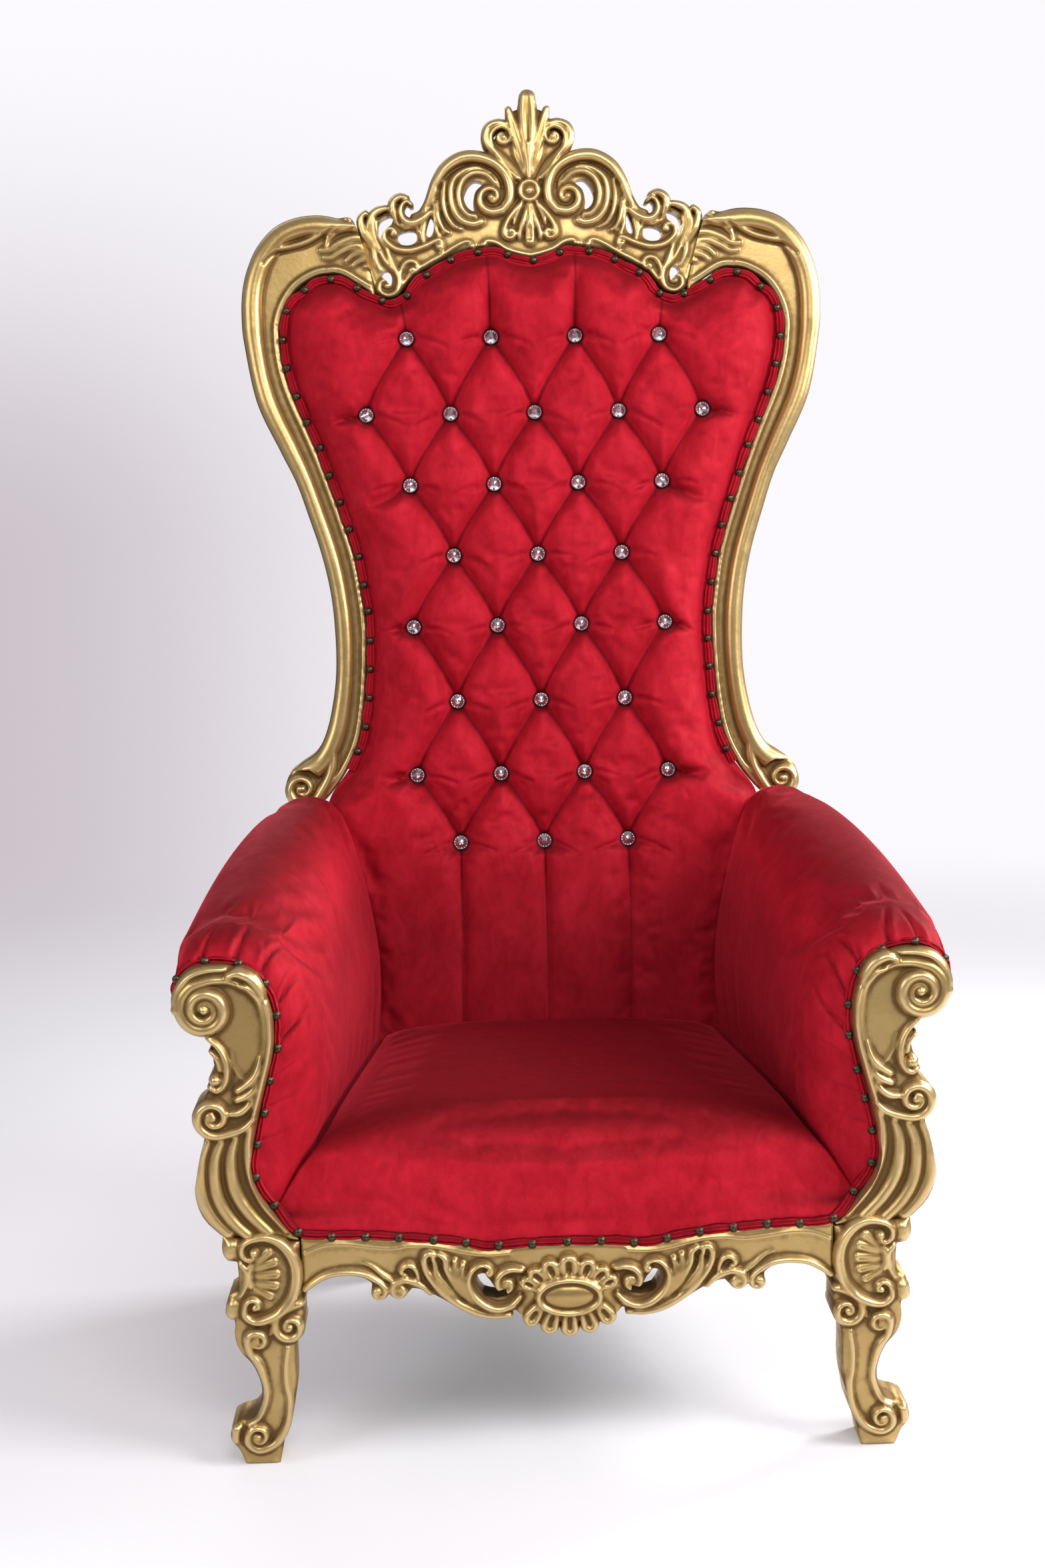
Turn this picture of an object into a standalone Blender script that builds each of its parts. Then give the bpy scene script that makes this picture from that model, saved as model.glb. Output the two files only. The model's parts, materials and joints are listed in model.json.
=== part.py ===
"""High-back carved throne armchair: gilded frame, tufted back, upholstered seat and arms.

Metres, +Z up. The chair faces -Y, left and right are as seen from the front (right is
+X), and the origin is on the floor in the middle of the chair's box.
"""
import math

import bmesh
import bpy
from mathutils import Matrix, Vector

# ---------------------------------------------------------------- driving dimensions
HEIGHT = 1.830                      # floor to the tip of the crest
DEPTH = 0.840                       # apron medallion to the back of the crest
GAP = 0.0006                        # clearance between touching pieces
FRONT_Y = -0.391                    # front face of legs, arm posts and apron
BOARD = 0.055                       # thickness of legs and arm posts
APRON_BOARD = 0.035                 # thickness of the front apron
BACK_Z = 0.780                      # height where the back's front plane is BACK_Y
BACK_Y = 0.249
BACK_LEAN = math.tan(math.radians(6.34))
STILE_BOARD = 0.046                 # thickness of back stiles and crest
BACK_CROWN = 0.060                  # how far the back cushion stands off its frame
TUFT_DEPTH = 0.020                  # buttons sit this far in front of the frame plane
SEAT_Z = 0.432                      # height of the seat cushion's rim
SEAT_CROWN = 0.012
RAIL_BOTTOM = 0.232
RAIL_TOP = 0.302
RAIL_BOARD = 0.030
BUTTON_RADIUS = 0.0105
WELT_RADIUS = 0.0045
WELT_ROOM = 0.0115                  # the back cushion stops this far inside the wood
CORNER = math.radians(40.0)         # an outline that turns more than this has a sharp corner

# ---------------------------------------------------------------- outlines, right half
# Front leg, as x and z, clockwise from its joint with the arm post.
LEG_OUTER = [(0.438, 0.3065), (0.439, 0.285), (0.433, 0.274), (0.421, 0.272), (0.420, 0.249),
             (0.422, 0.235), (0.433, 0.228), (0.437, 0.209), (0.427, 0.192), (0.428, 0.175),
             (0.422, 0.153), (0.408, 0.136), (0.399, 0.116), (0.396, 0.097), (0.400, 0.078),
             (0.409, 0.065), (0.428, 0.059), (0.437, 0.048), (0.437, 0.033), (0.428, 0.020),
             (0.420, 0.000)]
LEG_INNER = [(0.376, 0.000), (0.371, 0.026), (0.365, 0.048), (0.357, 0.072), (0.352, 0.105),
             (0.352, 0.134), (0.350, 0.161), (0.341, 0.177), (0.339, 0.201), (0.341, 0.225),
             (0.341, 0.2965)]

# Arm post: outer side downwards, inner side upwards.
POST_OUTER = [(0.405, 0.652), (0.420, 0.658), (0.444, 0.659), (0.463, 0.656), (0.478, 0.645),
              (0.487, 0.628), (0.490, 0.609), (0.486, 0.596), (0.477, 0.583), (0.465, 0.575),
              (0.453, 0.572), (0.442, 0.558), (0.438, 0.542), (0.440, 0.526), (0.447, 0.510),
              (0.446, 0.497), (0.455, 0.485), (0.461, 0.469), (0.455, 0.441), (0.461, 0.416),
              (0.467, 0.386), (0.470, 0.365), (0.462, 0.332), (0.440, 0.3075)]
POST_INNER = [(0.341, 0.2985), (0.360, 0.318), (0.376, 0.338), (0.392, 0.362), (0.400, 0.392),
              (0.397, 0.415), (0.392, 0.440), (0.385, 0.470), (0.376, 0.505), (0.367, 0.539),
              (0.364, 0.570), (0.366, 0.597), (0.373, 0.620), (0.387, 0.639)]

# Front apron: lower edge outwards from the centre, and upper edge inwards.
APRON_LOWER = [(0.000, 0.171), (0.014, 0.178), (0.024, 0.175), (0.036, 0.176), (0.047, 0.185),
               (0.058, 0.188), (0.068, 0.198), (0.084, 0.194), (0.102, 0.193), (0.125, 0.197),
               (0.156, 0.212), (0.188, 0.229), (0.200, 0.231), (0.206, 0.225), (0.215, 0.221),
               (0.224, 0.224), (0.230, 0.229), (0.242, 0.223), (0.250, 0.228), (0.251, 0.239),
               (0.260, 0.246), (0.276, 0.250), (0.291, 0.250), (0.310, 0.246), (0.339, 0.230)]
APRON_UPPER = [(0.339, 0.301), (0.270, 0.299), (0.225, 0.296), (0.186, 0.293), (0.138, 0.287),
               (0.101, 0.279), (0.058, 0.282), (0.000, 0.284)]
APRON_HOLE = [(0.078, 0.219), (0.092, 0.215), (0.108, 0.219), (0.117, 0.233), (0.116, 0.247),
              (0.106, 0.250), (0.101, 0.240), (0.091, 0.229), (0.080, 0.230)]

# Back stile: outer side from the crest joint down to the volute, inner side upwards.
STILE_OUTER = [(0.265, 1.632), (0.292, 1.641), (0.322, 1.646), (0.357, 1.642), (0.388, 1.628),
               (0.414, 1.600), (0.430, 1.566), (0.438, 1.533), (0.440, 1.496), (0.437, 1.455),
               (0.420, 1.367), (0.387, 1.294), (0.364, 1.246), (0.346, 1.193), (0.328, 1.135),
               (0.316, 1.077), (0.311, 1.019), (0.311, 0.961), (0.317, 0.913), (0.328, 0.869),
               (0.344, 0.838), (0.366, 0.822), (0.384, 0.808), (0.392, 0.788), (0.387, 0.766),
               (0.370, 0.753), (0.350, 0.753)]
STILE_INNER = [(0.326, 0.772), (0.298, 0.810), (0.278, 0.854), (0.269, 0.902), (0.264, 0.960),
               (0.262, 1.027), (0.267, 1.075), (0.277, 1.133), (0.295, 1.192), (0.313, 1.245),
               (0.334, 1.303), (0.359, 1.363), (0.370, 1.393), (0.378, 1.424), (0.382, 1.461),
               (0.380, 1.488), (0.370, 1.515), (0.353, 1.538), (0.328, 1.553), (0.308, 1.557),
               (0.287, 1.555), (0.254, 1.535), (0.237, 1.527)]

# Crest: upper edge inwards to the tip, lower edge outwards, and its openings.
CREST_UPPER = [(0.264, 1.630), (0.260, 1.660), (0.251, 1.649), (0.237, 1.661), (0.213, 1.661),
               (0.199, 1.676), (0.187, 1.677), (0.178, 1.668), (0.169, 1.649), (0.160, 1.667),
               (0.146, 1.690), (0.132, 1.713), (0.115, 1.729), (0.094, 1.737), (0.070, 1.737),
               (0.071, 1.757), (0.067, 1.772), (0.056, 1.782), (0.040, 1.785), (0.031, 1.785),
               (0.031, 1.800), (0.014, 1.803), (0.010, 1.820), (0.000, HEIGHT)]
CREST_LOWER = [(0.000, 1.578), (0.024, 1.582), (0.051, 1.594), (0.071, 1.593), (0.111, 1.587),
               (0.149, 1.568), (0.179, 1.552), (0.197, 1.529), (0.215, 1.520), (0.236, 1.528),
               (0.241, 1.546), (0.259, 1.612)]
CREST_HOLES = [[(0.071, 1.655), (0.080, 1.650), (0.092, 1.655), (0.098, 1.672), (0.090, 1.692),
                (0.078, 1.690), (0.084, 1.672)],
               [(0.146, 1.612), (0.155, 1.611), (0.157, 1.630), (0.149, 1.642)],
               [(0.172, 1.602), (0.186, 1.598), (0.202, 1.603), (0.200, 1.620), (0.182, 1.618)],
               [(0.208, 1.612), (0.222, 1.604), (0.232, 1.622), (0.220, 1.641), (0.210, 1.630)],
               [(0.211, 1.540), (0.222, 1.537), (0.225, 1.550), (0.216, 1.560)]]

# Tuft buttons: height of each row and the x of its buttons.
BUTTON_PITCH = 0.127
BUTTON_ROWS = [(1.455, 4), (1.342, 5), (1.236, 4), (1.130, 3), (1.024, 4), (0.911, 3),
               (0.801, 4), (0.698, 3)]

# Half width of the back cushion against height, under the stile line.
CUSHION_SIDE = [(0.246, 0.360), (0.247, 0.480), (0.251, 0.530), (0.259, 0.595), (0.271, 0.651),
                (0.285, 0.698), (0.298, 0.735), (0.300, 0.770), (0.284, 0.812), (0.266, 0.854),
               (0.257, 0.902)]
# Upper edge of the back cushion: fraction of its half width, and height.
CUSHION_TOP = [(0.00, 1.564), (0.14, 1.577), (0.29, 1.572), (0.40, 1.552), (0.50, 1.524),
               (0.62, 1.502), (0.75, 1.521), (0.86, 1.541), (1.00, 1.500)]

# Sections across the right arm pad, as x and z, from the inner foot over the roll.
ARM_REAR = [(0.250, 0.303), (0.250, 0.430), (0.255, 0.530), (0.275, 0.640), (0.304, 0.725),
            (0.328, 0.756), (0.355, 0.766), (0.383, 0.757), (0.401, 0.732), (0.398, 0.705),
            (0.372, 0.690), (0.354, 0.560), (0.343, 0.430), (0.334, 0.303)]
ARM_FRONT = [(0.332, 0.303), (0.318, 0.430), (0.306, 0.500), (0.310, 0.570), (0.334, 0.633),
             (0.374, 0.668), (0.428, 0.682), (0.474, 0.667), (0.490, 0.625), (0.478, 0.588),
             (0.452, 0.574), (0.428, 0.540), (0.422, 0.430), (0.420, 0.303)]
ARM_REAR_Y = 0.212
ARM_FRONT_Y = FRONT_Y + BOARD + GAP
ARM_STATIONS = 7
# Height of the roll and its outward flare between rear (0) and front (1).
ARM_DROP = [(0.00, 0.00), (0.30, 0.05), (0.60, 0.22), (0.85, 0.62), (1.00, 1.00)]
ARM_SWELL = 0.018                   # outward fullness of the roll halfway along the arm
ARM_ROLL_X, ARM_ROLL_Z = 0.335, 0.650    # the roll is outside and above these at the rear


# ---------------------------------------------------------------- helpers
def clear_scene():
    for obj in list(bpy.data.objects):
        bpy.data.objects.remove(obj, do_unlink=True)


def new_collection(name):
    collection = bpy.data.collections.new(name)
    bpy.context.scene.collection.children.link(collection)
    return collection


def new_material(name, colour, roughness, metallic):
    material = bpy.data.materials.new(name)
    material.use_nodes = True
    shader = material.node_tree.nodes["Principled BSDF"]
    shader.inputs["Base Color"].default_value = (*colour, 1.0)
    shader.inputs["Roughness"].default_value = roughness
    shader.inputs["Metallic"].default_value = metallic
    return material


def finish_mesh(name, mesh, material, smooth_angle=35.0):
    """Make the mesh an object of the throne's collection, shaded smooth between creases."""
    mesh.name = name
    mesh.materials.clear()
    mesh.materials.append(material)
    mesh.shade_smooth()
    mesh.set_sharp_from_angle(angle=math.radians(smooth_angle))
    obj = bpy.data.objects.new(name, mesh)
    THRONE.objects.link(obj)
    return obj


def mesh_from_bmesh(work):
    bmesh.ops.recalc_face_normals(work, faces=work.faces)
    mesh = bpy.data.meshes.new("mesh")
    work.to_mesh(mesh)
    work.free()
    return mesh


def interpolate(table, value, key=0):
    """Read the other column of a table at value, easing between its rows."""
    rows = sorted(table, key=lambda row: row[key])
    if value <= rows[0][key]:
        return rows[0][1 - key]
    for low, high in zip(rows, rows[1:]):
        if value <= high[key]:
            share = (value - low[key]) / (high[key] - low[key])
            return low[1 - key] + share * (high[1 - key] - low[1 - key])
    return rows[-1][1 - key]


def back_y(z):
    """Front plane of the leaning back at a height."""
    return BACK_Y + (z - BACK_Z) * BACK_LEAN


def mirrored(points, side):
    return [(side * x, z) for x, z in points]


def whole_outline(right_half):
    """Close a right half, given from the lower centre round to the upper centre."""
    left_half = [(-x, z) for x, z in reversed(right_half) if x > 0.0]
    return right_half + left_half


def cut_board(name, outlines, front, thickness, material, lean=False, resolution=3, bevel=0.0):
    """Saw a board from smooth outlines in x and z. Its front face is at y = front."""
    curve = bpy.data.curves.new(name, "CURVE")
    curve.dimensions = "2D"
    curve.fill_mode = "BOTH"
    curve.extrude = thickness / 2
    curve.resolution_u = resolution
    for outline in outlines:
        spline = curve.splines.new("BEZIER")
        spline.bezier_points.add(len(outline) - 1)
        spline.use_cyclic_u = True
        places = [Vector((x, z, 0.0)) for x, z in outline]
        for i, point in enumerate(spline.bezier_points):
            after = places[(i + 1) % len(places)] - places[i]
            handle = "VECTOR" if (places[i] - places[i - 1]).angle(after) > CORNER else "AUTO"
            point.co = places[i]
            point.handle_left_type = handle
            point.handle_right_type = handle
    drawn = bpy.data.objects.new(name + "_outline", curve)
    THRONE.objects.link(drawn)
    evaluated = drawn.evaluated_get(bpy.context.evaluated_depsgraph_get())
    mesh = bpy.data.meshes.new_from_object(evaluated)
    bpy.data.objects.remove(drawn)
    work = bmesh.new()
    work.from_mesh(mesh)
    bmesh.ops.remove_doubles(work, verts=work.verts, dist=0.00002)
    upright = Matrix.Rotation(math.radians(90.0), 4, "X")
    centred = Matrix.Translation((0.0, front + thickness / 2, 0.0))
    bmesh.ops.transform(work, matrix=centred @ upright, verts=work.verts)
    if lean:
        for vert in work.verts:
            vert.co.y += back_y(vert.co.z)
    obj = finish_mesh(name, mesh_from_bmesh(work), material)
    if bevel:
        rounding = obj.modifiers.new("rounding", "BEVEL")
        rounding.width = bevel
        rounding.segments = 2
        rounding.limit_method = "ANGLE"
        rounding.angle_limit = math.radians(50.0)
        rounding.use_clamp_overlap = True
    return obj


def loft(name, rings, material):
    """Skin a closed body over rings with equal numbers of points, capped at both ends."""
    work = bmesh.new()
    loops = [[work.verts.new(point) for point in ring] for ring in rings]
    count = len(rings[0])
    for first, second in zip(loops, loops[1:]):
        for i in range(count):
            j = (i + 1) % count
            work.faces.new((first[i], first[j], second[j], second[i]))
    work.faces.new(loops[0])
    work.faces.new(list(reversed(loops[-1])))
    bmesh.ops.triangulate(work, faces=work.faces, quad_method="FIXED")
    return finish_mesh(name, mesh_from_bmesh(work), material)


def box(name, low, high, material):
    work = bmesh.new()
    bmesh.ops.create_cube(work, size=1.0)
    low, high = Vector(low), Vector(high)
    middle = Matrix.Translation((low + high) / 2)
    bmesh.ops.transform(work, matrix=middle @ Matrix.Diagonal((*(high - low), 1.0)), verts=work.verts)
    return finish_mesh(name, mesh_from_bmesh(work), material)


def rope(name, points, radius, material):
    """A closed round cord through points."""
    curve = bpy.data.curves.new(name, "CURVE")
    curve.dimensions = "3D"
    curve.bevel_depth = radius
    curve.bevel_resolution = 1
    curve.use_fill_caps = True
    spline = curve.splines.new("POLY")
    spline.points.add(len(points) - 1)
    for point, place in zip(spline.points, points):
        point.co = (*place, 1.0)
    obj = bpy.data.objects.new(name, curve)
    curve.materials.append(material)
    THRONE.objects.link(obj)
    return obj


# ---------------------------------------------------------------- carved frame
def front_legs():
    for side, label in ((1, "right"), (-1, "left")):
        outline = mirrored(LEG_OUTER + LEG_INNER, side)
        cut_board("front_leg_" + label, [outline], FRONT_Y, BOARD, GOLD)


def arm_posts():
    for side, label in ((1, "right"), (-1, "left")):
        outline = mirrored(POST_OUTER + POST_INNER, side)
        cut_board("arm_post_" + label, [outline], FRONT_Y, BOARD, GOLD)


def front_apron():
    outline = whole_outline(APRON_LOWER + APRON_UPPER)
    holes = [mirrored(APRON_HOLE, side) for side in (1, -1)]
    cut_board("front_apron", [outline] + holes, FRONT_Y, APRON_BOARD, GOLD, resolution=2)


def apron_medallion():
    """The raised oval cartouche in front of the apron, as a flattened dome."""
    rows = 5
    around = 20
    centre_z = 0.233
    half_size = (0.062, 0.045)
    front = -DEPTH / 2
    rings = []
    for row in range(rows):
        angle = math.pi / 2 * row / rows
        depth = FRONT_Y - GAP + (front - FRONT_Y + GAP) * math.sin(angle)
        spread = math.cos(angle)
        rings.append([(half_size[0] * spread * math.cos(2 * math.pi * i / around), depth,
                       centre_z + half_size[1] * spread * math.sin(2 * math.pi * i / around))
                      for i in range(around)])
    flat_front = [(0.4 * x, front, centre_z + 0.4 * (z - centre_z)) for x, _, z in rings[-1]]
    loft("apron_medallion", rings + [flat_front], GOLD)


def back_stiles():
    for side, label in ((1, "right"), (-1, "left")):
        outline = mirrored(STILE_OUTER + STILE_INNER, side)
        cut_board("back_stile_" + label, [outline], 0.0, STILE_BOARD, GOLD, lean=True,
                  resolution=2, bevel=0.008)


def crest():
    outline = whole_outline(CREST_LOWER + CREST_UPPER)
    holes = [mirrored(hole, side) for hole in CREST_HOLES for side in (1, -1)]
    thickness = DEPTH / 2 - back_y(HEIGHT)
    cut_board("crest_rail", [outline] + holes, 0.0, thickness, GOLD, lean=True, resolution=2)


def crest_rosette():
    """Turned rosette on the crest: a ring round a bead, its axis square to the back."""
    profile = [(0.0, 0.0), (0.019, 0.0), (0.019, 0.005), (0.015, 0.009), (0.011, 0.005),
               (0.008, 0.010), (0.004, 0.013), (0.0, 0.014)]
    work = bmesh.new()
    verts = [work.verts.new((r, 0.0, h)) for r, h in profile]
    edges = [work.edges.new(pair) for pair in zip(verts, verts[1:])]
    bmesh.ops.spin(work, geom=verts + edges, axis=(0, 0, 1), cent=(0, 0, 0),
                   angle=2 * math.pi, steps=18, use_merge=True)
    bmesh.ops.remove_doubles(work, verts=work.verts, dist=0.00005)
    rosette_z = 1.677
    bmesh.ops.transform(work, matrix=towards_front(0.0, rosette_z, GAP), verts=work.verts)
    finish_mesh("crest_rosette", mesh_from_bmesh(work), GOLD)


# ---------------------------------------------------------------- hidden wooden frame
def rear_posts():
    """Rear leg and inner back upright in one piece: raked leg, then the back's lean."""
    # height, centre x, offset behind the back plane, half width, half depth
    stations = [(0.000, 0.268, 0.100, 0.017, 0.017), (0.120, 0.266, 0.074, 0.020, 0.020),
                (0.230, 0.262, 0.052, 0.024, 0.024), (0.340, 0.254, 0.042, 0.024, 0.022),
                (0.470, 0.232, 0.034, 0.018, 0.011), (0.800, 0.238, 0.034, 0.018, 0.011),
                (1.020, 0.232, 0.034, 0.018, 0.011), (1.480, 0.300, 0.034, 0.018, 0.011)]
    for side, label in ((1, "right"), (-1, "left")):
        rings = []
        for z, x, offset, wide, deep in stations:
            y = back_y(z) + offset
            rings.append([(side * (x + sx * wide), y + sy * deep, z)
                          for sx, sy in ((-1, -1), (1, -1), (1, 1), (-1, 1))])
        loft("rear_post_" + label, rings, GOLD)


def seat_rails():
    front_y = FRONT_Y + BOARD + GAP
    rear_y = back_y(0.27) + 0.0225
    for side, label in ((1, "right"), (-1, "left")):
        rings = []
        for y, x in ((front_y, 0.386), (rear_y, 0.262)):
            rings.append([(side * (x + dx), y, z)
                          for dx, z in ((-RAIL_BOARD / 2, RAIL_BOTTOM), (RAIL_BOARD / 2, RAIL_BOTTOM),
                                        (RAIL_BOARD / 2, RAIL_TOP), (-RAIL_BOARD / 2, RAIL_TOP))])
        loft("side_rail_" + label, rings, GOLD)
    middle = back_y(0.27) + 0.045
    box("rear_rail", (-0.228, middle - 0.013, RAIL_BOTTOM), (0.228, middle + 0.013, RAIL_TOP), GOLD)


def back_rails():
    """Two cross rails tie the uprights inside the back."""
    for name, low, high in (("back_rail_lower", 0.500, 0.560), ("back_rail_upper", 1.400, 1.460)):
        half = interpolate([(0.470, 0.232), (0.800, 0.238), (1.020, 0.232), (1.480, 0.300)], low)
        half -= 0.018 + 0.002
        rings = []
        for z in (low, high):
            y = back_y(z) + 0.034
            rings.append([(sx * half, y + sy * 0.010, z)
                          for sx, sy in ((-1, -1), (1, -1), (1, 1), (-1, 1))])
        loft(name, rings, WOOD)


def corner_blocks():
    """Three-cornered glue blocks brace the front legs to the apron, behind it."""
    near_y = FRONT_Y + BOARD + 2 * GAP
    corners = [(0.352, near_y), (0.290, near_y), (0.345, near_y + 0.049)]
    for side, label in ((1, "right"), (-1, "left")):
        rings = [[(side * x, y, z) for x, y in corners] for z in (0.240, 0.285)]
        loft("corner_block_" + label, rings, WOOD)


# ---------------------------------------------------------------- upholstery
def cushion_half_width(z):
    """Half width of the back cushion: its own side below, the stile line above."""
    side = CUSHION_SIDE + [(x - WELT_ROOM, z) for x, z in STILE_INNER[4:17]]
    return interpolate(side, z, key=1)


def back_cushion():
    """Crowned back cushion; its edge is low at the stiles and full between the arms."""
    columns = 16
    rows = 26
    rear = 0.018
    bottom = CUSHION_SIDE[0][1]

    def place(u, v, front):
        z = bottom + v * (interpolate(CUSHION_TOP, abs(u)) - bottom)
        x = u * (cushion_half_width(z) - 0.001)
        rise = min(1.0, max(0.0, (z - 0.735) / 0.09))
        edge = (1.0 - abs(u) ** 5) * (1.0 - v ** 14) ** 0.5
        stand = BACK_CROWN * (edge * rise + (1.0 - rise)) * (0.94 + 0.06 * (1 - u * u))
        offset = -stand - 0.002 if front else rear
        return (x, back_y(z) + offset, z)

    rings = []
    for row in range(rows + 1):
        v = row / rows
        ahead = [place(-1 + 2 * i / columns, v, True) for i in range(columns + 1)]
        behind = [place(1 - 2 * i / columns, v, False) for i in range(columns + 1)]
        rings.append(ahead + behind)
    cushion = loft("back_cushion", rings, VELVET)
    dimples = tuft_cutters()
    cut = cushion.modifiers.new("tufts", "BOOLEAN")
    cut.operation = "DIFFERENCE"
    cut.object = dimples


def button_places():
    """Centres of the buttons, row by row from the top."""
    for z, count in BUTTON_ROWS:
        for i in range(count):
            yield (i - (count - 1) / 2) * BUTTON_PITCH, z


def towards_front(x, z, offset):
    """Matrix that puts a part drawn along +Z on the back, its +Z pointing forwards."""
    turn = Matrix.Rotation(math.radians(90.0) - math.atan(BACK_LEAN), 4, "X")
    return Matrix.Translation((x, back_y(z), z)) @ turn @ Matrix.Translation((0.0, 0.0, offset))


def tuft_cutters():
    """Cone-shaped dimples, all in one cutter, that the buttons sit in."""
    work = bmesh.new()
    depth = 0.060
    for x, z in button_places():
        made = bmesh.ops.create_cone(work, cap_ends=True, segments=10, radius1=0.0125,
                                     radius2=0.045, depth=depth)
        bmesh.ops.transform(work, verts=made["verts"],
                            matrix=towards_front(x, z, TUFT_DEPTH + depth / 2))
    mesh = mesh_from_bmesh(work)
    cutter = bpy.data.objects.new("tuft_cutters", mesh)
    cutter.hide_render = True
    cutter.display_type = "WIRE"
    CUTTERS.objects.link(cutter)
    return cutter


def tuft_buttons():
    """Faceted buttons in metal cups, one node each."""
    height = 0.009
    for number, (x, z) in enumerate(button_places(), start=1):
        work = bmesh.new()
        bmesh.ops.create_cone(work, cap_ends=True, segments=10, radius1=BUTTON_RADIUS,
                              radius2=0.3 * BUTTON_RADIUS, depth=height)
        bmesh.ops.transform(work, matrix=towards_front(x, z, TUFT_DEPTH + GAP + height / 2),
                            verts=work.verts)
        finish_mesh(f"tuft_button_{number:02d}", mesh_from_bmesh(work), CRYSTAL)


def seat_cushion():
    """Tight seat: level top with a crown, sloping front, serpentine lower front edge."""
    columns = 14
    front_half, rear_half = 0.3160, 0.2470
    front_y, rear_y = -0.366, 0.145
    rings = []
    for i in range(columns + 1):
        u = -1 + 2 * i / columns
        crown = SEAT_CROWN * (1 - u * u)
        low_front = interpolate(APRON_UPPER, abs(u) * 0.330) + 0.003
        profile = [(0.133, 0.304), (rear_y, SEAT_Z - 0.004), (0.100, SEAT_Z + 0.3 * crown),
                   (-0.050, SEAT_Z + crown), (-0.250, SEAT_Z + crown), (-0.325, SEAT_Z + 0.6 * crown),
                   (-0.352, SEAT_Z - 0.020), (-0.362, 0.360), (front_y, low_front),
                   (-0.3555, low_front), (-0.3545, 0.304)]
        ring = []
        for y, z in profile:
            share = (rear_y - y) / (rear_y - front_y)
            ring.append((u * (rear_half + share * (front_half - rear_half)), y, z))
        rings.append(ring)
    loft("seat_cushion", rings, VELVET)


def trapezoid(name, front_half, rear_half, front_y, rear_y, low, high, material):
    rings = [[(front_half, front_y, z), (-front_half, front_y, z), (-rear_half, rear_y, z),
              (rear_half, rear_y, z)] for z in (low, high)]
    return loft(name, rings, material)


def seat_base():
    trapezoid("seat_deck", 0.312, 0.222, -0.3345, 0.150, 0.2915, 0.3020, WOOD)
    trapezoid("dust_cover", 0.372, 0.270, -0.334, 0.150, 0.2285, 0.2310, LINING)


def arm_pads():
    """Rolled arm pads: blended sections, then a face that fills the arm post's inner side."""
    for side, label in ((1, "right"), (-1, "left")):
        rings = []
        for station in range(ARM_STATIONS + 1):
            t = station / ARM_STATIONS
            y = ARM_REAR_Y + t * (ARM_FRONT_Y - ARM_REAR_Y)
            drop = interpolate(ARM_DROP, t)
            ring = []
            for (rear_x, rear_z), (front_x, front_z) in zip(ARM_REAR, ARM_FRONT):
                x = rear_x + t * (front_x - rear_x)
                if rear_x > ARM_ROLL_X and rear_z > ARM_ROLL_Z:
                    x += ARM_SWELL * math.sin(math.pi * t)
                z = rear_z + drop * (front_z - rear_z)
                ring.append((side * x, y, z))
            rings.append(ring)
        face = [(0.332, 0.303), (0.318, 0.430), (0.308, 0.500), (0.313, 0.565), (0.330, 0.605),
                (0.356, 0.633), (0.369, 0.624), (0.363, 0.598), (0.360, 0.570), (0.364, 0.535),
                (0.380, 0.470), (0.393, 0.410), (0.385, 0.360), (0.348, 0.316)]
        middle_x, middle_z = 0.350, 0.460
        for y, shrink, lift in ((ARM_FRONT_Y - 0.0004, 1.0, 0.0), (FRONT_Y + 0.028, 0.97, 0.004)):
            rings.append([(side * (middle_x + shrink * (x - middle_x)), y,
                           middle_z + shrink * (z - middle_z) + lift) for x, z in face])
        loft("arm_pad_" + label, rings, VELVET)


def outside_arms():
    """Covered panels that close the outside of each arm under its roll."""
    for side, label in ((1, "right"), (-1, "left")):
        rings = []
        for y, bottom, middle, top, top_z in ((ARM_REAR_Y, 0.3350, 0.3440, 0.3560, 0.560),
                                              (ARM_FRONT_Y, 0.4210, 0.4230, 0.4290, 0.540)):
            heights = ((bottom, 0.304), (middle, 0.430), (top, top_z))
            inner = [(side * (x + 2 * GAP), y, z) for x, z in heights]
            outer = [(side * (x + 0.020), y, z) for x, z in reversed(heights)]
            rings.append(inner + outer)
        loft("outside_arm_" + label, rings, VELVET)


def outside_back():
    """Covered panel behind the back, following the stiles."""
    heights = [0.500, 0.600, 0.700, 0.755, 0.810, 0.900, 1.000, 1.130, 1.250, 1.360, 1.430, 1.490]
    side = [(cushion_half_width(z), z) for z in heights]
    foot = [(0.000, 0.305), (0.212, 0.305), (0.212, 0.460)]
    top = [(0.340, 1.530), (0.300, 1.540), (0.225, 1.505), (0.120, 1.560), (0.000, 1.562)]
    outline = foot + side + top
    cut_board("outside_back", [whole_outline(outline)], 0.0465, 0.005, VELVET, lean=True, resolution=1)


# ---------------------------------------------------------------- trim
def welts():
    """Piping between wood and velvet: round the back, and along arms and seat front."""
    inset = 0.0068
    right = [(x - inset, z) for x, z in STILE_INNER[1:17]]
    top = [(0.345, 1.530), (0.325, 1.546), (0.290, 1.548), (0.256, 1.528), (0.232, 1.517),
           (0.213, 1.511), (0.190, 1.522), (0.172, 1.546), (0.146, 1.560), (0.108, 1.580),
           (0.070, 1.586), (0.050, 1.586), (0.024, 1.575)]
    half = right + top
    path = half + [(0.0, 1.571)] + [(-x, z) for x, z in reversed(half)]
    rope("back_welt", [(x, back_y(z) - 0.0105, z) for x, z in path], WELT_RADIUS, VELVET)
    arm = [(x - inset, z) for x, z in reversed(POST_INNER[1:])]
    front = [(0.320, 0.3075), (0.270, 0.3070), (0.225, 0.304), (0.186, 0.301), (0.138, 0.295),
             (0.101, 0.287), (0.058, 0.290)]
    half = arm + front
    path = half + [(0.0, 0.292)] + [(-x, z) for x, z in reversed(half)]
    rope("front_welt", [(x, FRONT_Y + 0.014, z) for x, z in path], WELT_RADIUS, VELVET)


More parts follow.
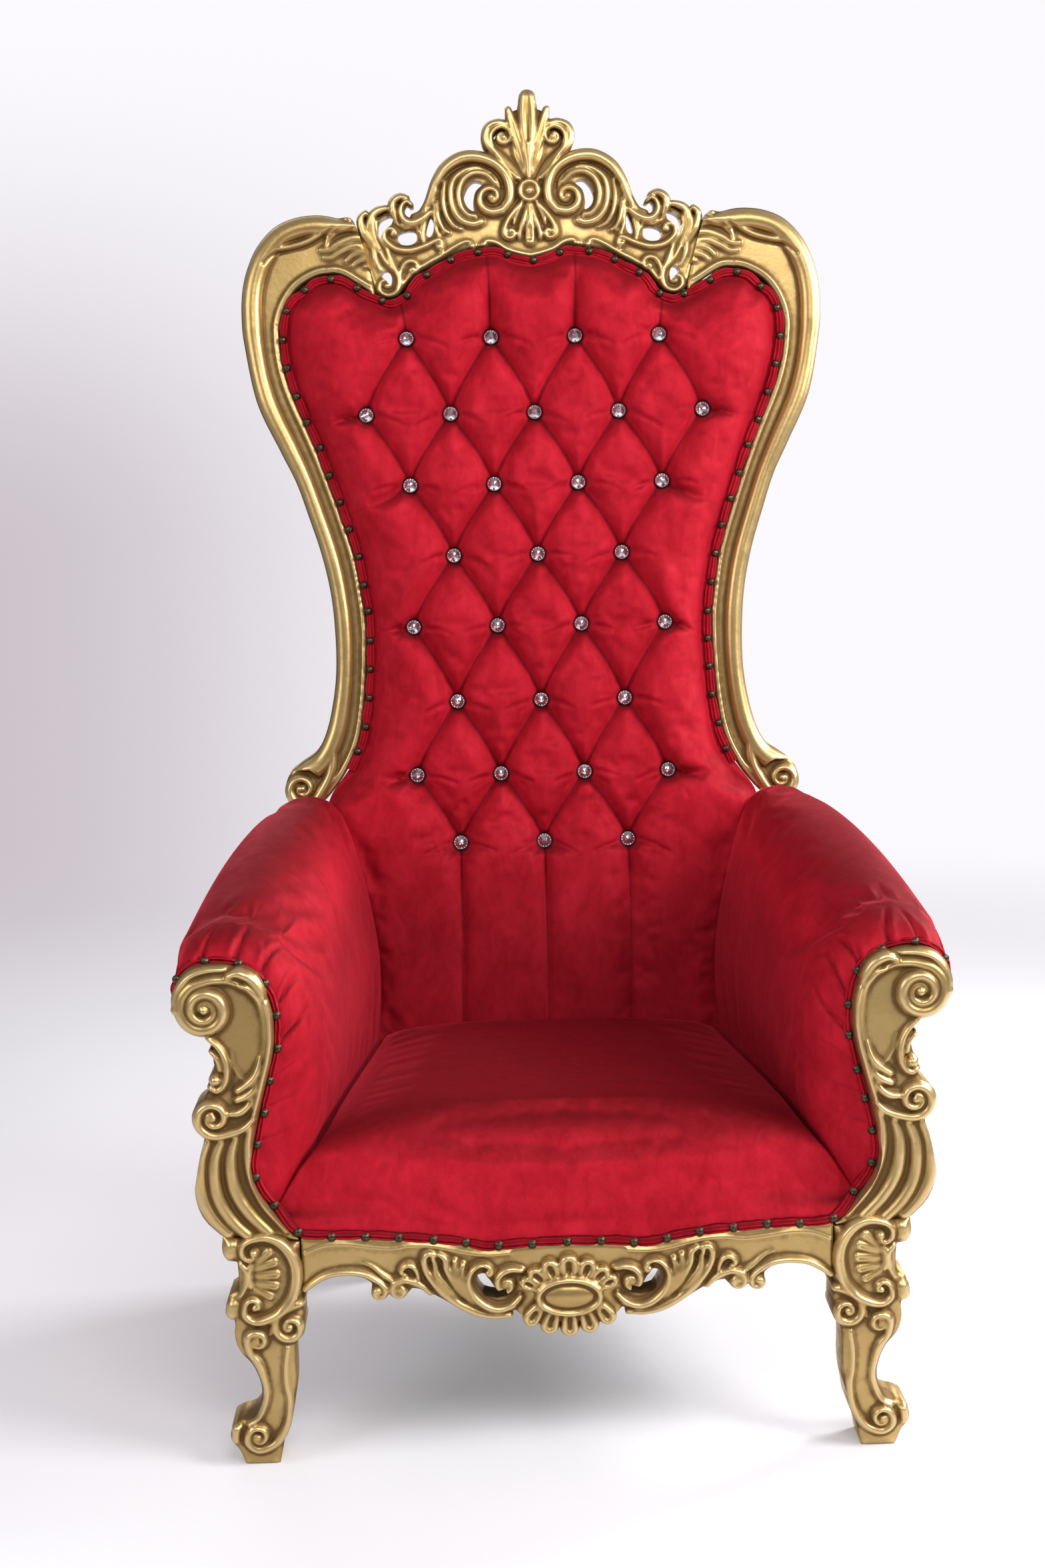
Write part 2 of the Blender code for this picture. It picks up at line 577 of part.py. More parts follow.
clear_scene()
THRONE = new_collection("throne_armchair")
CUTTERS = new_collection("cutters")
GOLD = new_material("antique_gold", (0.55, 0.38, 0.13), 0.35, 0.9)
VELVET = new_material("crimson_velvet", (0.62, 0.01, 0.04), 0.75, 0.0)
WOOD = new_material("frame_wood", (0.45, 0.29, 0.15), 0.6, 0.0)
LINING = new_material("black_lining", (0.03, 0.03, 0.03), 0.9, 0.0)
CRYSTAL = new_material("crystal", (0.85, 0.85, 0.88), 0.1, 0.2)

front_legs()
arm_posts()
front_apron()
apron_medallion()
back_stiles()
crest()
crest_rosette()
rear_posts()
seat_rails()
back_rails()
corner_blocks()
back_cushion()
tuft_buttons()
seat_cushion()
seat_base()
arm_pads()
outside_arms()
outside_back()
welts()
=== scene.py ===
"""Looks of the throne armchair: carved gilding, tufted velvet, trim, light and camera.

Everything is in metres in the CAD frame: +Z up, the chair faces -Y, and "right" is +X.
Carvings are reliefs: heights over a fine grid in x and z, shaped by strokes as a gouge would.
"""
import json
import math

import bmesh
import bpy
import numpy as np
from mathutils import Matrix, Vector
from mathutils.geometry import tessellate_polygon


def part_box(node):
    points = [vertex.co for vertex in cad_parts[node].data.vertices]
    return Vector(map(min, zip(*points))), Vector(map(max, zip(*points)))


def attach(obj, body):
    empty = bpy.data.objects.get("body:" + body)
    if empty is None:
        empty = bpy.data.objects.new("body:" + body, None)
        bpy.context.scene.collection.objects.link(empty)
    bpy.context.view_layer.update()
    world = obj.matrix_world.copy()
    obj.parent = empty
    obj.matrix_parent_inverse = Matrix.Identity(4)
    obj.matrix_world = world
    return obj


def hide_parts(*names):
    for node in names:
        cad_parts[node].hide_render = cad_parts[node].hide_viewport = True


# ---------------------------------------------------------------- dimensions, as in the CAD
FRONT_Y = -0.391                    # front plane of legs, arm posts and apron
BACK_Z = 0.780                      # height where the back's front plane is BACK_Y
BACK_Y = 0.249                      # front plane of the leaning back at that height
BACK_LEAN = math.tan(math.radians(6.34))
STILE_BOARD = 0.046                 # thickness of the back stiles and the crest
BOARD = 0.055                       # thickness of legs and arm posts
CELL = 0.0015                       # grid step of the carvings
STROKE_STEP = 0.0009                # step of the gouge along a stroke
GLAZE_WEAR_HIGHLIGHT_SPAN = 0.0022                  # a carving this far above or below its surroundings is fully toned
GLAZE_WEAR_HIGHLIGHT_REACH = 14                     # blur passes that make up those surroundings
SHARP_EDGE = math.radians(62.0)     # a carving's edge is shaded sharp above this angle
SIDES = ((1, "right"), (-1, "left"))

# ---------------------------------------------------------------- camera and light
CAMERA_PLACE = (-0.108, -3.048, 1.272)
CAMERA_PITCH, CAMERA_YAW, CAMERA_ROLL = 8.44, -1.34, 1.19      # degrees
CAMERA_LENS = 50.0
# Softboxes: name, place, width and power in watts.
LIGHTS = [("key", (2.6, -1.5, 2.5), 1.5, 112.0), ("fill", (-2.6, -1.7, 2.2), 1.7, 37.0),
          ("top", (0.3, -2.4, 3.1), 1.4, 46.0), ("rim", (2.2, 0.9, 1.9), 0.9, 72.0),
          ("rear", (-0.8, 2.8, 2.6), 2.2, 20.0)]
STUDIO_DIM = (0.25, 0.245, 0.265)   # the studio round the chair
BACKDROP_WHITE = (0.97, 0.95, 0.99)
BACKDROP_SHADE = (0.60, 0.55, 0.59)
FLOOR_FADE = (1.5, 4.2)             # the floor melts into the backdrop between these distances
FLOOR_SIZE = 60.0
LIGHT_AIM = (0.0, 0.0, 0.85)


def back_y(z):
    """Front plane of the leaning back at a height."""
    return BACK_Y + (z - BACK_Z) * BACK_LEAN


def front_plane(inset):
    """Upright plane behind the front one by the inset, as Relief.build takes it."""
    return lambda x, z: FRONT_Y + inset + 0 * x


# ---------------------------------------------------------------- curves and grids
def curve_point(p0, p1, p2, p3, t):
    """Catmull-Rom curve between p1 and p2, at the share t of the way."""
    return 0.5 * (2 * p1 + (p2 - p0) * t + (2 * p0 - 5 * p1 + 4 * p2 - p3) * t ** 2
                  + (3 * p1 - p0 - 3 * p2 + p3) * t ** 3)


def smooth_path(points, step=0.0008, closed=False):
    """Points along a Catmull-Rom curve through the given ones, about a step apart."""
    nodes = np.array(points, float)
    if closed:
        nodes = np.vstack([nodes[-1], nodes, nodes[0], nodes[1]])
    else:
        nodes = np.vstack([2 * nodes[0] - nodes[1], nodes, 2 * nodes[-1] - nodes[-2]])
    pieces = []
    for i in range(1, len(nodes) - 2):
        p0, p1, p2, p3 = nodes[i - 1:i + 3]
        count = max(2, int(np.linalg.norm(p2[:2] - p1[:2]) / step))
        t = np.linspace(0, 1, count, endpoint=False)[:, None]
        pieces.append(curve_point(p0, p1, p2, p3, t))
    if not closed:
        pieces.append(nodes[-2:-1])
    return np.vstack(pieces)


def around_section(points, detail):
    """Points round a closed section, the same number between each pair of given ones."""
    nodes = np.array(points)
    ring = []
    for k in range(len(nodes)):
        p0, p1, p2, p3 = (nodes[(k + d) % len(nodes)] for d in (-1, 0, 1, 2))
        for t in np.arange(detail) / detail:
            ring.append(curve_point(p0, p1, p2, p3, t))
    return np.array(ring)


def spiral(centre, start, turns, inner, spin):
    """Points of a spiral from a start point inwards to a radius. Spin is +1 anticlockwise."""
    offset = np.subtract(start, centre)
    outer = np.hypot(*offset)
    first = math.atan2(offset[1], offset[0])
    t = np.linspace(0, 1, max(8, int(turns * 12)))
    radius = outer + (inner - outer) * t ** 0.8
    angle = first + spin * 2 * math.pi * turns * t
    return [(centre[0] + r * math.cos(a), centre[1] + r * math.sin(a)) for r, a in zip(radius, angle)]


def mirror(points, side):
    """The points as they are on the right, side 1, or mirrored to the left, side -1."""
    return [(side * p[0], *p[1:]) for p in points]


def soften(grid, passes):
    """Blur a grid a little, once per pass."""
    for _ in range(passes):
        edge = np.pad(grid, 1, mode="edge")
        rows = (edge[:-2] + 2 * edge[1:-1] + edge[2:]) / 4
        grid = (rows[:, :-2] + 2 * rows[:, 1:-1] + rows[:, 2:]) / 4
    return grid


class Relief:
    """A carved board. Heights stand in front of its front plane; depth is the distance inside.

    Strokes, grooves and beads are given for the right side, and side mirrors them.
    """

    def __init__(self, low, high, cell=CELL):
        self.low = low
        self.cell = cell
        self.x = np.arange(low[0], high[0], cell)
        self.z = np.arange(low[1], high[1], cell)
        self.grid_x, self.grid_z = np.meshgrid(self.x, self.z)
        self.height = np.zeros(self.grid_x.shape)
        self.depth = np.full(self.grid_x.shape, -1.0)
        self.side = 1                # -1 mirrors every stroke, groove and bead to the left

    def away(self, path):
        """Distance to an open path."""
        nearest = np.full(self.grid_x.shape, 1e9)
        for x, z in path:
            nearest = np.minimum(nearest, (self.grid_x - x) ** 2 + (self.grid_z - z) ** 2)
        return np.sqrt(nearest)

    def distance(self, outline, smooth=True):
        """Signed distance inside a closed outline."""
        points = smooth_path(outline, 0.003, closed=True) if smooth else np.array(outline)
        nearest = np.full(self.grid_x.shape, 1e9)
        crossings = np.zeros(self.grid_x.shape, int)
        for (ax, az), (bx, bz) in zip(points, np.roll(points, -1, axis=0)):
            dx, dz = bx - ax, bz - az
            t = ((self.grid_x - ax) * dx + (self.grid_z - az) * dz) / (dx * dx + dz * dz + 1e-18)
            t = np.clip(t, 0, 1)
            gap = (self.grid_x - ax - t * dx) ** 2 + (self.grid_z - az - t * dz) ** 2
            nearest = np.minimum(nearest, gap)
            if dz != 0:
                spans = (az > self.grid_z) != (bz > self.grid_z)
                left = self.grid_x < ax + (self.grid_z - az) * dx / dz
                crossings += spans & left
        return np.where(crossings % 2 == 1, 1, -1) * np.sqrt(nearest)

    def board(self, outline, level=0.0, round_off=0.006, smooth=True):
        """Solid ground inside an outline, its edge rounded off."""
        inside = self.distance(outline, smooth)
        self.depth = np.maximum(self.depth, inside)
        share = np.clip(inside / round_off, 0, 1)
        ground = level * np.sqrt(1 - (1 - share) ** 2)
        self.height = np.where(inside > 0, np.maximum(self.height, ground), self.height)

    def cut(self, outline, smooth=True):
        """A pierced opening."""
        self.depth = np.minimum(self.depth, -self.distance(outline, smooth))

    def window(self, x, z, radius):
        """Slices of the grid within a radius of a place."""
        i0 = max(0, int((x - radius - self.low[0]) / self.cell))
        i1 = max(0, min(len(self.x), int((x + radius - self.low[0]) / self.cell) + 2))
        j0 = max(0, int((z - radius - self.low[1]) / self.cell))
        j1 = max(0, min(len(self.z), int((z + radius - self.low[1]) / self.cell) + 2))
        return slice(j0, j1), slice(i0, i1)

    def stroke(self, points, radii, rise, base=0.0, power=0.6, vein=0.0, solid=True):
        """A raised rib along a curve. Radii and rises are spread evenly along it."""
        path = smooth_path(mirror(points, self.side), STROKE_STEP)
        spread = np.linspace(0, 1, len(path))
        radius = np.interp(spread, np.linspace(0, 1, len(radii)), radii)
        tops = np.interp(spread, np.linspace(0, 1, len(np.atleast_1d(rise))), np.atleast_1d(rise))
        for (x, z), r, top in zip(path, radius, tops):
            part = self.window(x, z, r)
            d2 = ((self.grid_x[part] - x) ** 2 + (self.grid_z[part] - z) ** 2) / (r * r)
            share = np.clip(1 - d2, 0, 1)
            lift = np.where(d2 < 1, base + top * share ** power, 0)
            self.height[part] = np.maximum(self.height[part], lift)
            if solid:
                self.depth[part] = np.maximum(self.depth[part], r * (1 - np.sqrt(d2)))
        if vein:
            self.groove(points, [0.25 * r for r in radii], vein)

    def groove(self, points, radii, depth):
        """A gouged channel along a curve."""
        path = smooth_path(mirror(points, self.side), STROKE_STEP)
        spread = np.linspace(0, 1, len(path))
        radius = np.interp(spread, np.linspace(0, 1, len(radii)), radii)
        gouge = np.zeros(self.height.shape)
        for (x, z), r in zip(path, radius):
            part = self.window(x, z, 3 * r)
            d2 = ((self.grid_x[part] - x) ** 2 + (self.grid_z[part] - z) ** 2) / (r * r)
            gouge[part] = np.maximum(gouge[part], np.exp(-d2))
        self.height = self.height - depth * gouge

    def bead(self, x, z, radius, rise, base=0.0):
        """A round boss."""
        self.stroke([(x, z), (x + self.side * 1e-4, z)], [radius, radius], rise, base=base, power=0.5)

    def build(self, name, front, thickness, passes=2, facing=-1):
        """Make the carved solid: front(x, z) gives its plane's y, facing the way it looks along y.

        The front is the grid where depth is positive, cut where depth crosses zero. Walls run
        from that rim to a flat back.
        """
        for border in (np.s_[0], np.s_[-1], np.s_[:, 0], np.s_[:, -1]):
            self.depth[border] = np.minimum(self.depth[border], -0.1 * self.cell)
        height = soften(self.height, passes)
        relief = np.clip((height - soften(height, GLAZE_WEAR_HIGHLIGHT_REACH)) / GLAZE_WEAR_HIGHLIGHT_SPAN, -1, 1)
        inside = self.depth > 0
        number = np.full(inside.shape, -1)
        number[inside] = np.arange(inside.sum())
        places = [np.column_stack([self.grid_x[inside], self.grid_z[inside], height[inside],
                                   relief[inside]])]
        total = int(inside.sum())
        crossing = {}

        def cross(a, b):
            nonlocal total
            key = (a, b) if a < b else (b, a)
            if key not in crossing:
                t = self.depth[a] / (self.depth[a] - self.depth[b])
                t = min(max(t, 0.02), 0.98)
                extra.append([g[a] + t * (g[b] - g[a])
                              for g in (self.grid_x, self.grid_z, height, relief)])
                crossing[key] = total
                total += 1
            return crossing[key]

        extra, faces, rim = [], [], []
        full = inside[:-1, :-1] & inside[1:, :-1] & inside[:-1, 1:] & inside[1:, 1:]
        j, i = np.nonzero(full)
        faces += np.column_stack([number[j, i], number[j, i + 1], number[j + 1, i + 1],
                                  number[j + 1, i]]).tolist()
        some = inside[:-1, :-1] | inside[1:, :-1] | inside[:-1, 1:] | inside[1:, 1:]
        for j, i in zip(*np.nonzero(some & ~full)):
            corners = [(j, i), (j, i + 1), (j + 1, i + 1), (j + 1, i)]
            ring, marks = [], []
            for a, b in zip(corners, corners[1:] + corners[:1]):
                if inside[a]:
                    ring.append(int(number[a]))
                    marks.append(False)
                if inside[a] != inside[b]:
                    ring.append(cross(a, b))
                    marks.append(True)
            for k in range(len(ring)):
                if marks[k] and marks[(k + 1) % len(ring)]:
                    rim.append((ring[k], ring[(k + 1) % len(ring)]))
            faces.append(ring)
        data = np.vstack(places + [np.array(extra)])
        front_y = front(data[:, 0], data[:, 1]) + facing * data[:, 2]
        verts = np.column_stack([data[:, 0], front_y, data[:, 1]])
        rim_ids = sorted({v for edge in rim for v in edge})
        back_of = {v: len(verts) + k for k, v in enumerate(rim_ids)}
        rear = verts[rim_ids].copy()
        rear[:, 1] = front(rear[:, 0], rear[:, 2]) - facing * thickness
        loops = rim_loops(rim)
        walls = [(b, a, back_of[a], back_of[b]) for a, b in rim]
        flat = [[Vector((verts[v][0], verts[v][2], 0.0)) for v in loop] for loop in loops]
        order = [back_of[v] for loop in loops for v in loop]
        caps = [tuple(order[k] for k in tri) for tri in tessellate_polygon(flat)]
        mesh = bpy.data.meshes.new(name)
        mesh.from_pydata(np.vstack([verts, rear]).tolist(), [], faces + walls + caps)
        write_tone(mesh, "relief", np.concatenate([data[:, 3], np.zeros(len(rear))]))
        return finish_piece(name, mesh)


def rim_loops(edges):
    """Chain directed edges into closed loops."""
    follow = dict(edges)
    loops = []
    while follow:
        first, _ = next(iter(follow.items()))
        loop = [first]
        at = follow.pop(first)
        while at != first:
            loop.append(at)
            at = follow.pop(at)
        loops.append(loop)
    return loops


def write_tone(mesh, name, values):
    """Store a number for each point, which the materials read."""
    mesh.attributes.new(name, "FLOAT", "POINT").data.foreach_set("value", values)


def add_object(name, data):
    """Link a mesh, a light or a camera into the scene as an object."""
    obj = bpy.data.objects.new(name, data)
    bpy.context.scene.collection.objects.link(obj)
    return obj


def finish_piece(name, mesh):
    """Orient and shade a mesh, and link it as an object."""
    work = bmesh.new()
    work.from_mesh(mesh)
    bmesh.ops.recalc_face_normals(work, faces=work.faces)
    work.to_mesh(mesh)
    work.free()
    mesh.shade_smooth()
    mesh.set_sharp_from_angle(angle=SHARP_EDGE)
    return add_object(name, mesh)


def board_outlines(name):
    """Outlines of a CAD board's front face in x and z, the widest first, each from its lowest point."""
    work = bmesh.new()
    work.from_mesh(frame["nodes"][name].data)
    bmesh.ops.remove_doubles(work, verts=work.verts, dist=0.00001)
    front = {face for face in work.faces if face.normal.y < -0.9}
    follow = {}
    for face in front:
        for loop in face.loops:
            if not any(other in front and other is not face for other in loop.edge.link_faces):
                follow[loop.vert.index] = loop.link_loop_next.vert.index
    places = {vert.index: (vert.co.x, vert.co.z) for vert in work.verts}
    work.free()
    loops = []
    for rim in rim_loops(list(follow.items())):
        loop = [places[v] for v in rim]
        lowest = loop.index(min(loop, key=lambda point: (point[1], point[0])))
        loops.append(loop[lowest:] + loop[:lowest])
    return sorted(loops, key=lambda loop: -max(p[0] for p in loop) + min(p[0] for p in loop))


def ball(segments, rings):
    """Points and faces of a unit ball with its poles on z."""
    polar = [math.pi * k / rings for k in range(1, rings)]
    turn = [math.pi / 2 + 2 * math.pi * k / segments for k in range(segments)]
    points = [(0.0, 0.0, 1.0)]
    points += [(math.sin(p) * math.cos(a), math.sin(p) * math.sin(a), math.cos(p))
               for p in polar for a in turn]
    points.append((0.0, 0.0, -1.0))
    faces = []
    for k in range(segments):
        j = (k + 1) % segments
        faces.append((0, 1 + k, 1 + j))
        for row in range(1, 1 + (rings - 2) * segments, segments):
            below = row + segments
            faces.append((row + k, below + k, below + j, row + j))
        faces.append((len(points) - 1 - segments + k, len(points) - 1, len(points) - 1 - segments + j))
    return points, faces


def right_half(points):
    """Whole closed outline from its right half, which runs from lower to upper centre."""
    return points + [(-x, z) for x, z in reversed(points) if x > 0]


# ---------------------------------------------------------------- materials
class Nodes:
    """Short way to wire a Principled material."""

    def __init__(self, name):
        self.material = bpy.data.materials.new(name)
        self.material.use_nodes = True
        self.tree = self.material.node_tree
        self.shader = self.tree.nodes["Principled BSDF"]
        self.place = self.node("ShaderNodeTexCoord").outputs["Object"]

    def node(self, kind, **settings):
        """A new node with its settings."""
        made = self.tree.nodes.new(kind)
        for key, value in settings.items():
            setattr(made, key, value)
        return made

    def link(self, source, target):
        self.tree.links.new(source, target)

    def set(self, **values):
        """Set the shader's plain values, named with underscores for spaces."""
        for key, value in values.items():
            self.shader.inputs[key.replace("_", " ")].default_value = value

    def noise(self, scale, detail=4.0, roughness=0.5, distortion=0.0, stretch=None):
        """Noise over the object's own space, stretched along an axis if asked."""
        texture = self.node("ShaderNodeTexNoise")
        texture.inputs["Scale"].default_value = scale
        texture.inputs["Detail"].default_value = detail
        texture.inputs["Roughness"].default_value = roughness
        texture.inputs["Distortion"].default_value = distortion
        if stretch:
            mapping = self.node("ShaderNodeMapping")
            mapping.inputs["Scale"].default_value = stretch
            self.link(self.place, mapping.inputs["Vector"])
            self.link(mapping.outputs["Vector"], texture.inputs["Vector"])
        else:
            self.link(self.place, texture.inputs["Vector"])
        return texture.outputs["Fac"]

    def ramp(self, value, stops):
        """Map a value through stops of (position, number or colour)."""
        made = self.node("ShaderNodeValToRGB")
        elements = made.color_ramp.elements
        while len(elements) > len(stops):
            elements.remove(elements[-1])
        while len(elements) < len(stops):
            elements.new(1.0)
        for element, (position, shade) in zip(elements, stops):
            element.position = position
            element.color = (*shade, 1.0) if isinstance(shade, tuple) else (shade, shade, shade, 1.0)
        self.link(value, made.inputs["Fac"])
        return made.outputs["Color"]

    def mix(self, share, first, second):
        """Blend two colours, each a socket or a tuple."""
        made = self.node("ShaderNodeMix", data_type="RGBA")
        for socket, value in ((made.inputs["Factor"], share), (made.inputs[6], first),
                              (made.inputs[7], second)):
            if isinstance(value, bpy.types.NodeSocket):
                self.link(value, socket)
            elif isinstance(value, tuple):
                socket.default_value = (*value, 1.0)
            else:
                socket.default_value = value
        return made.outputs[2]

    def math(self, operation, first, second):
        """A sum on two values, each a socket or a number."""
        made = self.node("ShaderNodeMath", operation=operation)
        for socket, value in zip(made.inputs, (first, second)):
            if isinstance(value, bpy.types.NodeSocket):
                self.link(value, socket)
            else:
                socket.default_value = value
        return made.outputs[0]

    def attribute(self, name):
        return self.node("ShaderNodeAttribute", attribute_name=name).outputs["Fac"]

    def bump(self, height, distance, strength=1.0, under=None):
        """A bumped normal, over another one if given."""
        made = self.node("ShaderNodeBump")
        made.inputs["Distance"].default_value = distance
        made.inputs["Strength"].default_value = strength
        self.link(height, made.inputs["Height"])
        if under:
            self.link(under, made.inputs["Normal"])
        return made.outputs["Normal"]


def gold_material():
    """Antique gold paint: brown glaze left in the recesses, and paler gold on the high points, partly
    rubbed wear and partly a painted highlight.
    """
    m = Nodes("antique_gold")
    relief = m.attribute("relief")
    cloud = m.noise(9.0, 3.0)
    grime = m.noise(70.0, 5.0, 0.65)
    paint = m.mix(m.ramp(cloud, [(0.35, 0.0), (0.65, 1.0)]), (0.40, 0.262, 0.092), (0.49, 0.335, 0.130))
    recess = m.math("MULTIPLY", relief, -1.0)
    dirt = m.math("ADD", recess, m.math("MULTIPLY", m.math("SUBTRACT", grime, 0.5), 0.60))
    glazed = m.mix(m.ramp(dirt, [(0.06, 0.0), (0.56, 0.90)]), paint, (0.135, 0.070, 0.022))
    # painted highlight: the high points are mixed towards paler gold, partly as rubbed wear and partly as a
    # painted highlight
    bright = m.mix(m.ramp(relief, [(0.25, 0.0), (0.85, 0.55)]), glazed, (0.78, 0.59, 0.30))
    specks = m.ramp(m.noise(240.0, 2.0, 0.7), [(0.68, 0.0), (0.75, 0.6)])
    m.link(m.mix(specks, bright, (0.16, 0.085, 0.03)), m.shader.inputs["Base Color"])
    worn = m.ramp(dirt, [(0.0, 0.34), (0.6, 0.60)])
    m.link(m.math("ADD", worn, m.math("MULTIPLY", m.math("SUBTRACT", grime, 0.5), 0.22)),
           m.shader.inputs["Roughness"])
    m.set(Metallic=0.80, Specular_IOR_Level=0.5)
    m.link(m.bump(m.noise(160.0, 4.0, 0.6), 0.0006, 0.35, m.bump(cloud, 0.004, 0.25)),
           m.shader.inputs["Normal"])
    return m.material


def velvet_material():
    """Short-pile velvet: brushed nap, with painted shade in the folds and on faces that look up."""
    dark, light = (0.25, 0.0005, 0.0040), (0.58, 0.0120, 0.0320)
    m = Nodes("crimson_velvet")
    nap = m.noise(15.0, 5.0, 0.65, 0.5)
    streak = m.noise(48.0, 4.0, 0.6, 0.9, stretch=(1.0, 1.0, 0.5))
    pile = m.noise(1100.0, 2.0, 0.8)
    brushed = m.math("ADD", m.math("MULTIPLY", nap, 0.55), m.math("MULTIPLY", streak, 0.45))
    colour = m.mix(m.ramp(brushed, [(0.20, 0.0), (0.72, 1.0)]), dark, light)
    colour = m.mix(m.ramp(pile, [(0.3, 0.30), (0.7, 0.0)]), colour, tuple(0.45 * c for c in dark))
    # painted shade: faces that look up, such as the seat top, are darkened for the low-angle light that
    # grazes them
    facing = m.node("ShaderNodeSeparateXYZ")
    m.link(m.node("ShaderNodeNewGeometry").outputs["Normal"], facing.inputs["Vector"])
    level = m.ramp(facing.outputs["Z"], [(0.40, 0.0), (0.95, 0.80)])
    colour = m.mix(level, colour, tuple(0.22 * c for c in dark))
    # painted shade: the fold attribute darkens creases, button rings, gimp troughs, the lower back and the
    # inner arm faces
    fold = m.ramp(m.attribute("fold"), [(0.10, 0.0), (0.90, 0.72)])
    colour = m.mix(fold, colour, tuple(0.10 * c for c in dark))
    m.link(colour, m.shader.inputs["Base Color"])
    m.link(m.ramp(brushed, [(0.35, 0.80), (0.65, 0.62)]), m.shader.inputs["Roughness"])
    m.set(Sheen_Weight=0.60, Sheen_Roughness=0.28, Specular_IOR_Level=0.10)
    m.shader.inputs["Sheen Tint"].default_value = (1.0, 0.06, 0.10, 1.0)
    fine = m.bump(pile, 0.0006, 0.45)
    m.link(m.bump(brushed, 0.0016, 0.22, fine), m.shader.inputs["Normal"])
    return m.material


def wood_material():
    """Plain hardwood with a fine upright grain."""
    m = Nodes("frame_wood")
    grain = m.noise(14.0, 6.0, 0.6, 0.8, stretch=(1.0, 1.0, 0.08))
    m.link(m.ramp(grain, [(0.3, (0.30, 0.18, 0.09)), (0.7, (0.55, 0.37, 0.20))]),
           m.shader.inputs["Base Color"])
    m.link(m.bump(grain, 0.001, 0.4), m.shader.inputs["Normal"])
    m.set(Roughness=0.62)
    return m.material


def lining_material():
    """Black woven dust cover."""
    m = Nodes("black_lining")
    weave = m.noise(700.0, 2.0, 0.9)
    m.link(m.ramp(weave, [(0.3, (0.008, 0.008, 0.009)), (0.7, (0.035, 0.035, 0.038))]),
           m.shader.inputs["Base Color"])
    m.link(m.bump(weave, 0.0004, 0.6), m.shader.inputs["Normal"])
    m.set(Roughness=0.92)
    return m.material


def crystal_material():
    """Foil-backed cut glass: every facet mirrors something else."""
    m = Nodes("crystal")
    m.set(Roughness=0.05, Metallic=0.9, Coat_Weight=1.0)
    tint = m.noise(160.0, 1.0)
    m.link(m.ramp(tint, [(0.35, (0.50, 0.46, 0.49)), (0.65, (0.88, 0.84, 0.88))]),
           m.shader.inputs["Base Color"])
    return m.material


def silver_material():
    """Bright button cup, tarnished in spots."""
    m = Nodes("button_silver")
    tarnish = m.noise(300.0, 3.0, 0.6)
    m.link(m.ramp(tarnish, [(0.3, (0.45, 0.45, 0.46)), (0.6, (0.82, 0.82, 0.84))]),
           m.shader.inputs["Base Color"])
    m.link(m.ramp(tarnish, [(0.3, 0.35), (0.7, 0.18)]), m.shader.inputs["Roughness"])
    m.set(Metallic=1.0)
    return m.material


def bronze_material():
    """Dark hammered bronze."""
    m = Nodes("nail_bronze")
    patina = m.noise(420.0, 4.0, 0.7)
    m.link(m.ramp(patina, [(0.35, (0.020, 0.014, 0.009)), (0.72, (0.17, 0.12, 0.07))]),
           m.shader.inputs["Base Color"])
    m.link(m.ramp(patina, [(0.3, 0.5), (0.7, 0.28)]), m.shader.inputs["Roughness"])
    m.link(m.bump(patina, 0.0003, 0.6), m.shader.inputs["Normal"])
    m.set(Metallic=0.9)
    return m.material


def floor_material():
    """White studio floor that fades out far from the chair, into the backdrop."""
    m = Nodes("studio_floor")
    cloud = m.noise(0.8, 3.0)
    m.link(m.ramp(cloud, [(0.3, (0.66, 0.65, 0.675)), (0.7, (0.70, 0.69, 0.715))]),
           m.shader.inputs["Base Color"])
    m.set(Roughness=0.75, Specular_IOR_Level=0.1, Emission_Strength=0.17)
    m.shader.inputs["Emission Color"].default_value = (1.0, 0.97, 1.0, 1.0)
    away = m.node("ShaderNodeVectorMath", operation="LENGTH")
    m.link(m.place, away.inputs[0])
    share = m.node("ShaderNodeMapRange", interpolation_type="SMOOTHSTEP")
    share.inputs["From Min"].default_value = FLOOR_FADE[0]
    share.inputs["From Max"].default_value = FLOOR_FADE[1]
    share.inputs["To Min"].default_value = 1.0
    share.inputs["To Max"].default_value = 0.0
    m.link(away.outputs["Value"], share.inputs["Value"])
    m.link(share.outputs["Result"], m.shader.inputs["Alpha"])
    return m.material


def dress(obj, material, slot, *nodes):
    """Give a piece its material and body, and hide the CAD nodes it stands for. The slot is not used."""
    obj.data.materials.clear()
    obj.data.materials.append(material)
    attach(obj, "root")
    if nodes:
        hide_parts(*nodes)
    return obj


# ---------------------------------------------------------------- crest
CREST_OUTLINE = [(0.000, 1.578), (0.024, 1.582), (0.051, 1.594), (0.071, 1.593), (0.111, 1.587),
                 (0.149, 1.568), (0.179, 1.552), (0.197, 1.529), (0.215, 1.519), (0.236, 1.528),
                 (0.241, 1.546), (0.259, 1.612), (0.250, 1.632), (0.232, 1.640), (0.214, 1.648),
                 (0.196, 1.640), (0.172, 1.640), (0.152, 1.660), (0.128, 1.700), (0.098, 1.722),
                 (0.060, 1.728), (0.056, 1.750), (0.030, 1.770), (0.020, 1.790), (0.000, 1.800)]
CREST_HOLES = [
    [(0.096, 1.680), (0.086, 1.693), (0.074, 1.693), (0.070, 1.688), (0.081, 1.677), (0.085, 1.660),
     (0.084, 1.648), (0.093, 1.653), (0.099, 1.666)],
    [(0.150, 1.642), (0.146, 1.634), (0.146, 1.620), (0.152, 1.610), (0.158, 1.615), (0.155, 1.631)],
    [(0.201, 1.615), (0.189, 1.621), (0.174, 1.620), (0.172, 1.606), (0.182, 1.599), (0.197, 1.601)],
    [(0.227, 1.637), (0.212, 1.644), (0.207, 1.639), (0.210, 1.630), (0.220, 1.621), (0.228, 1.609),
     (0.231, 1.624)],
    [(0.225, 1.560), (0.216, 1.561), (0.211, 1.550), (0.213, 1.538), (0.220, 1.547), (0.227, 1.552)]]


